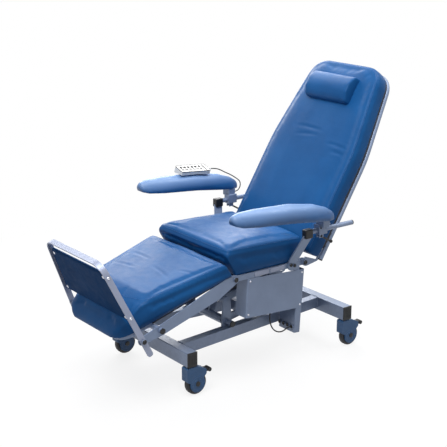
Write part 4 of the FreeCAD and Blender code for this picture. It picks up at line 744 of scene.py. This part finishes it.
@dataclass
class Upholstery:
    """A stuffed piece: its solid, shrunk and remeshed, blown up by a cloth simulation, creased and sewn.

    Args:
        node: The solid it stands for.
        body: The body it rides on.
        local: Frame in which creases and the seam are stated.
        up: Direction of the outer face in that frame.
        plane: Which two local axes the creases use.
        creases: The pulled lines.
        seam: The sewn edge, or None.
        dome: Rounding of the solid's sections, or None.
        voxel: Size of the even mesh.
        shrink: How far the surface is drawn in before it is blown up.
        pressure: Pressure of the filling.
        frames: Length of the simulation.
        cap: The most that a point may move.
        drawn: The most that it may move inwards.
        fill: How tight the filling is, from 0 to 1; not used.
        finish: Its material.
        slot: The record's slot of its finish; not used.
    """

    node: str
    body: str
    local: LocalFrame = WORLD
    up: Place = (0.0, 0.0, 1.0)
    plane: tuple[int, int] = (0, 1)
    creases: tuple[Crease, ...] = ()
    seam: Seam | None = None
    dome: PadDome | None = None
    voxel: float = 0.006
    shrink: float = 0.003
    pressure: float = 4.0
    frames: int = 20
    cap: float = 0.008
    drawn: float = 0.0015
    fill: float = 0.8
    finish: str = "blue_vinyl"
    slot: str = "blue_upholstery"

    def build(self, source: Thing) -> None:
        piece = self.remeshed(source)
        if self.dome is not None:
            self.put(piece, self.dome.shaped(self.read(piece, "co")))
        normals = self.read(piece, "normal")
        held = normals @ self.local.way(self.up) < -0.8
        inner = self.eased(piece, self.read(piece, "co") - normals * self.shrink * ~held[:, None], held)
        self.put(piece, inner)
        move = self.swollen(piece, held) - inner
        outward = self.read(piece, "normal")
        along = np.sum(move * outward, axis=1, keepdims=True)
        move += outward * (np.maximum(along, -self.drawn) - along)
        far = np.linalg.norm(move, axis=1, keepdims=True)
        self.put(piece, inner + move * np.minimum(1.0, self.cap / np.maximum(far, 1e-9)))
        self.put(piece, self.eased(piece, self.read(piece, "co"), held, 2))
        self.press_lines(piece)
        soften = piece.modifiers.new("soften", "SUBSURF")
        soften.levels = soften.render_levels = 1
        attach(piece, self.body)
        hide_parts(self.node)
        LOG.info("made %s", piece.name)
        if self.seam is not None:
            self.sew(piece)

    def remeshed(self, source: Thing) -> Thing:
        """Makes a new piece, an even mesh of the solid's surface."""
        rough = linked(self.node + "_rough", source.data.copy())
        voxel = rough.modifiers.new("even", "REMESH")
        voxel.mode = "VOXEL"
        voxel.voxel_size = self.voxel
        ready = rough.evaluated_get(bpy.context.evaluated_depsgraph_get())
        mesh = bpy.data.meshes.new_from_object(ready)
        bpy.data.objects.remove(rough)
        mesh.materials.clear()
        mesh.materials.append(FINISHES[self.finish])
        mesh.polygons.foreach_set("use_smooth", np.ones(len(mesh.polygons), bool))
        mesh.polygons.foreach_set("material_index", np.zeros(len(mesh.polygons), np.int32))
        return linked("soft_" + self.node, mesh)

    @staticmethod
    def read(piece: Thing, what: str) -> np.ndarray:
        """Places or normals of a piece's corners, one to a row."""
        flat = np.empty(len(piece.data.vertices) * 3)
        piece.data.vertices.foreach_get(what, flat)
        return flat.reshape(-1, 3)

    @staticmethod
    def put(piece: Thing, points: np.ndarray) -> None:
        """Moves a piece's corners to new places."""
        piece.data.vertices.foreach_set("co", points.ravel())
        piece.data.update()

    @staticmethod
    def edges(piece: Thing) -> np.ndarray:
        """Corner numbers of each edge, as two rows."""
        flat = np.empty(len(piece.data.edges) * 2, np.int64)
        piece.data.edges.foreach_get("vertices", flat)
        return flat.reshape(-1, 2).T

    def eased(self, piece: Thing, points: np.ndarray, held: np.ndarray, rounds: int = 4) -> np.ndarray:
        """Moves each free point half way to the mean of its neighbours, a few times over.

        Args:
            piece: The piece whose edges tell the neighbours.
            points: The places to ease.
            held: Which points stay.
            rounds: How often.

        Returns:
            The eased places.
        """
        one, two = self.edges(piece)
        near = np.bincount(np.concatenate([one, two]), minlength=len(points))[:, None]
        for _ in range(rounds):
            total = np.zeros_like(points)
            np.add.at(total, one, points[two])
            np.add.at(total, two, points[one])
            points = np.where(held[:, None], points, 0.5 * points + 0.5 * total / np.maximum(near, 1))
        return points

    def swollen(self, piece: Thing, held: np.ndarray) -> np.ndarray:
        """Blows the piece up with cloth pressure while its under face stays where it is.

        Args:
            piece: The piece.
            held: Which points stay.

        Returns:
            The blown-up places.
        """
        group = piece.vertex_groups.new(name="held")
        group.add(np.flatnonzero(held).tolist(), 1.0, "REPLACE")
        cloth = piece.modifiers.new("puff", "CLOTH")
        settings = cloth.settings
        settings.quality = 4
        settings.mass = 0.35
        settings.tension_stiffness = settings.compression_stiffness = 18.0
        settings.shear_stiffness = 6.0
        settings.bending_stiffness = 0.6
        settings.use_pressure = True
        settings.uniform_pressure_force = self.pressure
        settings.effector_weights.gravity = 0.0
        settings.vertex_group_mass = group.name
        cloth.collision_settings.use_collision = False
        for number in range(1, self.frames + 1):
            bpy.context.scene.frame_set(number)
        ready = piece.evaluated_get(bpy.context.evaluated_depsgraph_get())
        places = self.read(ready, "co")
        piece.modifiers.remove(cloth)
        piece.vertex_groups.remove(group)
        bpy.context.scene.frame_set(1)
        return places

    def above_seam(self, local: np.ndarray) -> np.ndarray:
        """Height of local places above the seam's plane."""
        return local @ np.array(self.up) - self.seam.base - self.seam.slope * local[:, 1]

    def press_lines(self, piece: Thing) -> None:
        """Sinks each crease, and the seam, by a bell-shaped groove of its depth and width."""
        points, normals = self.read(piece, "co"), self.read(piece, "normal")
        local = self.local.into(points)
        facing = np.clip(normals @ self.local.way(self.up), 0, 1)
        flat = local[:, list(self.plane)]
        sink = np.zeros(len(points))
        for crease in self.creases:
            start, run = np.array(crease.start), np.subtract(crease.end, crease.start)
            length = np.linalg.norm(run)
            share = np.clip((flat - start) @ run / length**2, 0, 1)
            bow = crease.bow * np.sin(np.pi * share)[:, None] * np.array([-run[1], run[0]]) / length
            away = np.linalg.norm(flat - start - share[:, None] * run - bow, axis=1)
            fade = np.sin(np.pi * np.clip(share, 0.03, 0.97)) * facing
            sink += crease.depth * fade * np.exp(-((away / crease.width) ** 2))
            sink -= 0.4 * crease.depth * fade * np.exp(-(((away - 2 * crease.width) / crease.width) ** 2))
        if self.seam is not None:
            groove = np.exp(-((self.above_seam(local) / self.seam.width) ** 2))
            sink += self.seam.depth * groove * (facing < 0.9)
        self.put(piece, points - normals * sink[:, None])

    def sew(self, piece: Thing) -> None:
        """Lays a row of stitches beside the seam, each a short bead on the cover.

        The row is where the cover crosses a plane a little above the seam's: each mesh edge that crosses it
        gives one point, the points are put in order by their angle about their middle, and stitches are laid
        at even steps along them.
        """
        points, normals = self.read(piece, "co"), self.read(piece, "normal")
        height = self.above_seam(self.local.into(points)) - self.seam.row
        one, two = self.edges(piece)
        across = height[one] * height[two] < 0
        one, two = one[across], two[across]
        share = (height[one] / (height[one] - height[two]))[:, None]
        line = points[one] + share * (points[two] - points[one])
        lift = unit(normals[one] + share * (normals[two] - normals[one]))
        flat = self.local.into(line)[:, list(self.plane)]
        order = np.argsort(np.arctan2(*(flat - flat.mean(0)).T))
        order = np.append(order, order[0])
        line = line[order] + self.seam.proud * lift[order]
        line = np.stack([np.convolve(np.pad(line[:, a], 4, "wrap"), np.ones(9) / 9, "valid") for a in range(3)], -1)
        steps = resampled(line, self.seam.pitch / 3)
        places = np.array([0.0, 0.25, 0.75, 1.0])[:, None]
        radii = self.seam.thread * np.array([0.4, 1.0, 1.0, 0.4])
        stitches = Parts()
        for start, end in zip(steps[:-2:3], steps[2::3]):
            stitches.along(start + places * (end - start), radii, 6)
        stitches.piece("stitches_" + self.node, self.body, Look.THREAD)


@dataclass(frozen=True)
class Cord:
    """A flexible cord on its solid's route.

    Args:
        node: The solid it stands for.
        body: The body it rides on.
        local: Frame of the route.
        x: Place of the whole route along X.
        route: Its control points along Y and Z.
        diameter: Its thickness.
        length: Its real length; not used.
    """

    node: str
    body: str
    local: LocalFrame
    x: float
    route: tuple[tuple[float, float], ...]
    diameter: float
    length: float

    def build(self) -> None:
        route = self.local.out(np.insert(np.array(self.route), 0, self.x, axis=1))
        curve = bpy.data.curves.new("line_" + self.node, "CURVE")
        curve.dimensions = "3D"
        curve.bevel_depth = self.diameter / 2
        curve.bevel_resolution = 4
        curve.resolution_u = 10
        curve.use_fill_caps = True
        spline = curve.splines.new("NURBS")
        spline.points.add(len(route) - 1)
        spline.points.foreach_set("co", np.column_stack([route, np.ones(len(route))]).ravel())
        spline.order_u = 3
        spline.use_endpoint_u = True
        curve.materials.append(FINISHES["cord_rubber"])
        piece = linked("line_" + self.node, curve)
        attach(piece, self.body)
        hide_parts(self.node)
        LOG.info("made %s", piece.name)


CORDS = (
    Cord("control_cable", "seat", HOUSING, 0.25425, (
        (0.150, -0.180), (0.150, -0.206), (0.155, -0.232), (0.167, -0.257), (0.187, -0.276), (0.212, -0.286),
        (0.2365, -0.285), (0.2595, -0.272), (0.283, -0.272)), 0.006, 0.2072),
    Cord("handset_cord", "right_arm", WORLD, -0.346, (
        (0.10373, 0.78289), (0.130, 0.7806), (0.160, 0.770), (0.191, 0.752), (0.222, 0.737), (0.252, 0.718),
        (0.281, 0.697), (0.2873, 0.6775), (0.281, 0.658), (0.2644, 0.646), (0.244, 0.646)), 0.005, 0.2789),
)


@dataclass
class SoftGoods:
    """Every stuffed piece of the chair."""

    back_creases: tuple[Crease, ...] = (
        Crease((-0.13, 0.600), (0.065, 0.597)),
        Crease((-0.11, 0.556), (0.04, 0.571), 0.0013),
        Crease((0.11, 0.546), (0.25, 0.538)),
        Crease((0.15, 0.512), (0.25, 0.506), 0.0014),
    )
    leg_creases: tuple[Crease, ...] = (
        Crease((-0.21, -0.188), (-0.03, -0.193), 0.0013),
        Crease((0.01, -0.221), (0.17, -0.246)),
        Crease((0.15, -0.180), (0.235, -0.161), 0.0013),
        Crease((-0.19, -0.290), (-0.03, -0.270), 0.0012),
    )

    def pieces(self) -> list[Upholstery]:
        """The stuffed pieces with their sewing."""
        small = {"voxel": 0.0045, "cap": 0.005}
        # the arm pads get the vinyl with a painted highlight
        arms = [Upholstery(side + "_arm_pad", side + "_arm", dome=PadDome(sign * 0.346),
                           finish="pad_vinyl_painted_highlight", **small) for side, sign in SIDES]
        return [
            Upholstery("seat_cushion", "seat", seam=Seam(0.5745, -0.037)),
            Upholstery("leg_cushion", "leg_rest", LEG, creases=self.leg_creases, seam=Seam(0.083, -0.115)),
            Upholstery("back_cushion", "back", BACK, FORWARD, (0, 2), self.back_creases, Seam(0.006), voxel=0.0074),
            Upholstery("head_pillow", "back", BACK, FORWARD, (0, 2), **small),
            # the footboard panel's cover is darkened vinyl, painted shade
            Upholstery("footboard_panel", "footboard", FOOT, FORWARD, (0, 2), voxel=0.004, shrink=0.001, cap=0.002,
                       finish="panel_vinyl_painted_shade", slot="navy_panel"),
        ] + arms

    def build(self, nodes: dict[str, Thing]) -> None:
        """Makes every stuffed piece over its solid."""
        for piece in self.pieces():
            piece.build(nodes[piece.node])


SLOT_FINISHES = {
    "painted_steel": "grey_paint", "bright_steel": "bar_paint", "chromed_rod": "chromed_rod",
    "black_plastic": "black_plastic", "drive_plastic": "drive_plastic", "caster_plastic": "caster_plastic",
    "handset_plastic": "handset_plastic", "ply_board": "board",
}


def paint_solids(nodes: dict[str, Thing], record: dict) -> None:
    """Gives every solid that stays in view its finish, by the record's slot.

    Args:
        nodes: The solids' objects.
        record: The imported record.
    """
    for part in record["subparts"]:
        node, slot = part["node"], part["material_slot"]
        if slot in SLOT_FINISHES:
            material = FINISHES[SLOT_FINISHES[slot]]
        elif slot == "tyre_rubber":
            low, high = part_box(node)
            material = WheelFinish(node + "_finish", Tone.CASTER.value, tuple((low + high) / 2)).build()
        else:
            continue
        nodes[node].data.materials.clear()
        nodes[node].data.materials.append(material)


@dataclass
class Casters:
    """Axle caps, moulded rings and tread ribs of the four casters."""

    stem_x: float = 0.277
    axle: Place = (0.0, 0.028, 0.050)
    half: float = 0.0205
    collar: Place = (0.0, 0.0, 0.1315)
    tread: Place = (0.0, 0.095, 0.097)
    tread_r: float = 0.009
    rib_half: float = 0.0135

    def dress(self) -> None:
        """Makes the small pieces of each caster."""
        for end, y in zip(("front", "rear"), BARS_Y):
            for side, sign in SIDES:
                self.one("%s_%s" % (end, side), WORLD.out((sign * self.stem_x, y, 0.0)))

    def one(self, name: str, foot: np.ndarray) -> None:
        """Makes the small pieces of one caster.

        Args:
            name: Its place on the base.
            foot: Point of the floor under its stem.
        """
        caps, rings, ribs = Parts(), Parts(), Parts()
        for sign in (1.0, -1.0):
            way = np.array([sign, 0.0, 0.0])
            face = foot + self.axle + way * self.half
            caps.turned(face, way, dome(0.0115, 0.0036), 24)
            rings.ring(face, way, 0.031, 0.0011)
            rings.ring(face, way, 0.0185, 0.0009)
        rings.ring(foot + self.collar, UP, 0.0175, 0.0016)
        caps.piece(name + "_axle_caps", name + "_fork", Look.DARK)
        rings.piece(name + "_fork_rings", name + "_fork", Look.CASTER)
        for angle in np.radians((40.0, 66.0, 92.0, 118.0)):
            edge = foot + self.tread + self.tread_r * np.array([0.0, math.cos(angle), math.sin(angle)])
            ribs.along(edge + np.linspace(-self.rib_half, self.rib_half, 9)[:, None] * [1.0, 0.0, 0.0], 0.0011, 6)
        ribs.piece(name + "_pedal_ribs", name + "_pedal", Look.DARK)


@dataclass
class Base:
    """Welds and plug ribs of the wheeled base."""

    bar_faces: tuple[float, float] = (-0.448, 0.393)
    rail_outer: tuple[float, float] = (0.198, 0.119)
    rail_wide: float = 0.040
    rail_z: tuple[float, float] = (0.150, 0.200)
    plug_x: float = 0.300
    plug_z: tuple[float, float] = (0.143, 0.192)
    plug_half: float = 0.016

    def dress(self) -> None:
        """Makes the base's small pieces."""
        welds, ribs = Parts(), Parts()
        low, top = self.rail_z
        for _, sign in SIDES:
            for y, outer in zip(self.bar_faces, self.rail_outer):
                x0, x1 = sign * outer, sign * (outer - self.rail_wide)
                welds.weld(WORLD.out([(x0, y, low), (x0, y, top), (x1, y, top), (x1, y, low)]))
            for y in BARS_Y:
                for shift in np.linspace(-self.plug_half, self.plug_half, 5):
                    run = WORLD.out([(sign * self.plug_x, y + shift, z) for z in self.plug_z])
                    ribs.along(resampled(run, 0.006), 0.0014, 6)
        welds.piece("base_welds", "chassis", Look.PAINT)
        ribs.piece("base_plug_ribs", "chassis", Look.DARK)


@dataclass
class Drives:
    """Bands, end domes and lid screws of the three linear drives.

    Each drive is given by its name, its body, its X, the Z of its rod, its tail along Y, and the way from nose
    to tail.
    """

    drives: tuple = (("lift", "chassis", 0.0, 0.308, 0.178, 1.0), ("leg", "seat", -0.062, 0.385, 0.070, 1.0),
                     ("back", "seat", 0.062, 0.385, -0.159, -1.0))
    motor_in: float = 0.033
    motor_r: float = 0.027
    motor_low: float = 0.092
    bands: Place = (0.034, 0.040, 0.078)
    lid: tuple[float, float] = (-0.014, 0.014)

    def dress(self) -> None:
        """Makes each drive's small pieces."""
        for name, body, x, z, tail, way in self.drives:
            axis = WORLD.out((x, tail - way * self.motor_in, z))
            bands = Parts()
            for drop in self.bands:
                bands.ring(axis - drop * UP, UP, self.motor_r, 0.0011, 48)
            bands.turned(axis - self.motor_low * UP, -UP, dome(0.014, 0.003))
            bands.piece(name + "_drive_bands", body, Look.DARK)
            corners = [(x + shift, tail, z + up) for shift in self.lid for up in self.lid]
            out = (0.0, way, 0.0)
            Heads(name + "_drive_screws", body, Look.SCREW, WORLD, corners, 0.003, 12, out, (LEFT,)).dress()


@dataclass
class GuardStrips:
    """Bright strips on both sides under the seat cushion, by their starts and ends along Y."""

    x: float = 0.2685
    z: float = 0.4635
    runs: tuple = ((-0.118, -0.036), (-0.030, 0.052))
    half: float = 0.0105
    thick: float = 0.0022

    def dress(self) -> None:
        """Makes the strips as one piece."""
        strips = Parts()
        for _, sign in SIDES:
            axes = np.array([[0.0, sign, 0.0], UP, [sign, 0.0, 0.0]])
            for start, stop in self.runs:
                middle = WORLD.out((sign * self.x, (start + stop) / 2, self.z))
                strips.pad(middle, axes, ((stop - start) / 2, self.half), self.thick, 28, 8.0)
        strips.piece("guard_strips", "seat", Look.BAR)


@dataclass
class Fastenings:
    """Screws, bolts, caps and socket collars of the frames, as places of the left side in their frames.

    The footboard's posts lean in by `narrowing`; their screws and the panel's bolts sit at the heights `rows`.
    """

    chassis_stubs: tuple = ((0.100, -0.170, 0.318),)
    seat_stubs: tuple = ((0.100, 0.12526, 0.27113), (0.100, 0.12526, 0.37113))
    hinges: tuple = ((0.279, -0.226, 0.4635), (0.280, 0.165, 0.4635))
    housing: tuple = ((0.270, 0.014, -0.014), (0.270, 0.014, -0.166), (0.270, 0.311, -0.014), (0.270, 0.311, -0.166))
    sockets: tuple = tuple((0.158 + 0.0275 * (index + 0.5), 0.283, -0.272) for index in range(4))
    foot_pivots: tuple = ((0.2935, -0.506, 0.020),)
    rows: tuple[float, float] = (0.112, 0.306)
    inner: float = 0.279
    narrowing: float = 0.18
    bar_t: float = 0.006
    inset: float = 0.026
    panel_face: float = 0.0042
    board_y: float = 0.070
    board: tuple = ((0.238, 0.150), (0.238, 0.330), (0.238, 0.500), (0.215, 0.680), (0.190, 0.850), (0.080, 0.500),
                    (0.080, 0.150))
    posts: tuple = ((0.280, -0.011, 0.026), (0.280, 0.011, 0.026))
    clamp: tuple = ((0.343, 0.196, 0.634), (0.343, 0.224, 0.634), (0.336, 0.206, 0.593))

    def dress(self) -> None:
        """Makes every piece."""
        halves = [(self.inner - self.narrowing * up, up) for up in self.rows]
        bolts = [(half - self.inset, self.panel_face, up) for half, up in halves]
        screws = [(half + self.bar_t, 0.0, up) for half, up in halves]
        board = [(x, self.board_y, z) for x, z in self.board]
        inward, lean = (-1.0, 0.0, 0.0), (1.0, 0.0, self.narrowing)
        faces = (LEFT, RIGHT, (1.0, -1.0, 1.0), (-1.0, -1.0, 1.0))
        pieces = [
            Heads("chassis_stub_caps", "chassis", Look.SCREW, WORLD, self.chassis_stubs, 0.0085, way=inward),
            Heads("seat_stub_caps", "seat", Look.SCREW, WORLD, self.seat_stubs, 0.0085, way=inward),
            Heads("housing_screws", "seat", Look.SCREW, HOUSING, self.housing, 0.0036, 16),
            Heads("hinge_caps", "seat", Look.DARK, WORLD, self.hinges, 0.0085),
            Heads("control_box_mouths", "seat", Look.DARK, HOUSING, self.sockets, 0.0085, 20, FORWARD, (LEFT,), mouth),
            Heads("foot_pivot_caps", "leg_rest", Look.DARK, LEG, self.foot_pivots, 0.008),
            Heads("panel_bolts", "footboard", Look.SCREW, FOOT, bolts, 0.0075, 20, REARWARD, faces,
                  partial(dome, high=0.0035)),
            Heads("post_screws", "footboard", Look.SCREW, FOOT, screws, 0.0048, 16, lean),
            Heads("back_board_screws", "back", Look.SCREW, BACK, board, 0.0052, 16, REARWARD),
            Heads("arm_post_bolts", "seat", Look.DARK, POST, self.posts, 0.0062),
        ]
        pieces += [Heads(side + "_clamp_screws", side + "_arm", Look.DARK, WORLD, self.clamp, (0.0042, 0.0042, 0.0046),
                         16, mirrors=((sign, 1.0, 1.0),)) for side, sign in SIDES]
        for piece in pieces:
            piece.dress()


def turned_y(angle: float) -> np.ndarray:
    """Rows of a turn about Y by an angle in degrees, X towards Z."""
    c, s = math.cos(math.radians(angle)), math.sin(math.radians(angle))
    return np.array([[c, 0.0, s], [0.0, 1.0, 0.0], [-s, 0.0, c]])


@dataclass
class HandsetMarks:
    """Dark pads on both ends of each key, the dark stripe by the cord and the trim round the top."""

    x: float = -0.346
    start: float = -0.0655
    pitch: float = 0.021
    count: int = 6
    slope: float = 10.0
    mark_x: float = 0.0092
    mark_z: float = 0.0013
    mark_half: tuple[float, float] = (0.0066, 0.0062)
    stripe: Place = (0.0, 0.064, -0.0004)
    stripe_half: tuple[float, float] = (0.026, 0.0045)
    roll: float = 18.0
    roll_height: float = -0.010
    rim_half: tuple[float, float] = (0.0301, 0.0831)
    rim_radius: float = 0.0051
    rim_z: float = -0.0009
    bead: float = 0.0017

    def rolled(self, place: np.ndarray) -> np.ndarray:
        """Turns places of the level handset, from the middle of its top, to the patient.

        Args:
            place: One place, or one to a row.

        Returns:
            The places in the scene.
        """
        axis = self.roll_height * UP
        return HANDSET.out((self.x, 0.0, 0.0) + axis + (np.array(place) - axis) @ turned_y(-self.roll))

    def dress(self) -> None:
        """Makes the marks of each key, the stripe and the trim."""
        rows = turned_y(-self.roll)
        for index in range(self.count):
            marks = Parts()
            for sign in (1.0, -1.0):
                place = self.rolled((sign * self.mark_x, self.start + index * self.pitch, self.mark_z))
                marks.pad(place, HANDSET.way(turned_y(sign * self.slope) @ rows), self.mark_half, 0.0008)
            marks.piece("key_%d_marks" % (index + 1), "key_%d" % (index + 1), Look.DARK)
        stripe, trim = Parts(), Parts()
        stripe.pad(self.rolled(self.stripe), HANDSET.way(rows), self.stripe_half, 0.0010, 28, 6.0)
        stripe.piece("handset_stripe", "right_arm", Look.DARK)
        trim.along(self.rolled(self.rim()), self.bead, 6, True)
        trim.piece("handset_trim", "right_arm", Look.DARK)

    def rim(self) -> np.ndarray:
        """The case's top edge: four quarter circles, one about each corner's middle, joined by straight lines."""
        angle = np.linspace(0, np.pi / 2, 7) + np.arange(4)[:, None] * np.pi / 2
        middle = np.array([(1, 1), (-1, 1), (-1, -1), (1, -1)]) * (np.array(self.rim_half) - self.rim_radius)
        outline = middle[:, None] + self.rim_radius * np.stack([np.cos(angle), np.sin(angle)], -1)
        return np.column_stack([outline.reshape(-1, 2), np.full(angle.size, self.rim_z)])


def facing(place: Place, back: Sequence[float]) -> Matrix:
    """Where a camera or lamp stands, and its turn: it looks away from `back`."""
    return Matrix.Translation(place) @ Vector(back).to_track_quat("Z", "Y").to_matrix().to_4x4()


@dataclass
class Studio:
    """Camera at the photograph's place, white paper floor and soft light.

    Args:
        lens: Focal length in millimetres.
        place: Where the camera stands.
        azimuth: Its direction round the chair in degrees.
        elevation: Its height above the chair in degrees.
        sky: Colour of the sky's light.
        sky_power: Strength of the sky's light.
        lamps: Each soft square lamp's name, place, target, side and power in watts.
        shade: Floor's colour for the light that it throws back.
        glow: Share of plain white in the floor near the chair and far from it.
        fade: Distances between which that share grows.
        side: Half the floor's side.
    """

    lens: float = 88.65
    place: Place = (3.762, -2.958 + SHIFT_Y, 2.031)
    azimuth: float = 52.6034
    elevation: float = 16.5507
    sky: Colour = (0.93, 0.95, 1.0)
    sky_power: float = 0.26
    lamps: tuple = (("key", (0.9, -1.2, 3.2), (0.0, 0.0, 0.6), 2.0, 92.0),
                    ("rear_side", (-2.8, 1.2, 2.5), (0.0, -0.2, 0.5), 3.0, 150.0),
                    ("shoulder", (0.5, 1.3, 2.9), (0.0, -0.2, 0.75), 1.4, 30.0))
    shade: Colour = (0.3, 0.31, 0.33)
    glow: tuple[float, float] = (0.84, 1.0)
    fade: tuple[float, float] = (0.9, 2.2)
    side: float = 9.0

    def build(self) -> None:
        """Sets up camera, world, lamps and floor."""
        bpy.context.scene.view_settings.view_transform = "Standard"
        self.camera()
        self.world()
        for name, place, target, size, power in self.lamps:
            data = bpy.data.lights.new(name, "AREA")
            data.size = size
            data.energy = power
            linked(name, data).matrix_world = facing(place, np.subtract(place, target))
        self.floor()

    def camera(self) -> None:
        """Puts the camera where the photograph was taken from."""
        azimuth, elevation = math.radians(self.azimuth), math.radians(self.elevation)
        flat = math.cos(elevation)
        back = (math.sin(azimuth) * flat, -math.cos(azimuth) * flat, math.sin(elevation))
        data = bpy.data.cameras.new("camera")
        data.sensor_width = 36.0
        data.lens = self.lens
        camera = linked("camera", data)
        camera.matrix_world = facing(self.place, back)
        bpy.context.scene.camera = camera

    def world(self) -> None:
        """Makes a soft sky that looks white but lights the chair gently."""
        world = bpy.data.worlds.new("studio")
        g = Graph(world)
        soft = g.nodes["Background"]
        g.fill(soft, Color=self.sky, Strength=self.sky_power)
        white = g.node("Background", Color=WHITE, Strength=1.0)
        g.blend(g.seen(), soft, white, "World Output")
        bpy.context.scene.world = world

    def floor(self) -> None:
        """Makes a paper floor that looks white apart from the chair's faint shadow."""
        material = bpy.data.materials.new("floor_paper")
        g = Graph(material)
        seen = g.seen()
        paper = g.ramp(g.noise(2.0), (0.3, (0.86, 0.86, 0.87)), (0.7, (0.9, 0.9, 0.9)))
        g.set(Base_Color=g.mix(seen, self.shade, paper), Roughness=0.9)
        white = g.node("Emission", Color=WHITE, Strength=1.0)
        share = g.math("MULTIPLY", seen, g.spread(g.away((0.0, 0.0, 0.0)), *self.glow, *self.fade))
        g.blend(share, g.nodes["Principled BSDF"], white, "Material Output")
        corners = self.side * np.array([(-1, -1, 0), (1, -1, 0), (1, 1, 0), (-1, 1, 0)])
        new_object("floor", corners, [[0, 1, 2, 3]], material)


def main() -> None:
    """Builds the studio and the chair."""
    logging.basicConfig(level=logging.INFO)
    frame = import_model()
    Studio().build()
    FINISHES.build()
    for cord in CORDS:
        cord.build()
    paint_solids(frame["nodes"], frame["record"])
    SoftGoods().build(frame["nodes"])
    for assembly in (Casters(), Base(), Drives(), GuardStrips(), Fastenings(), HandsetMarks()):
        assembly.dress()


if __name__ == "__main__":
    main()
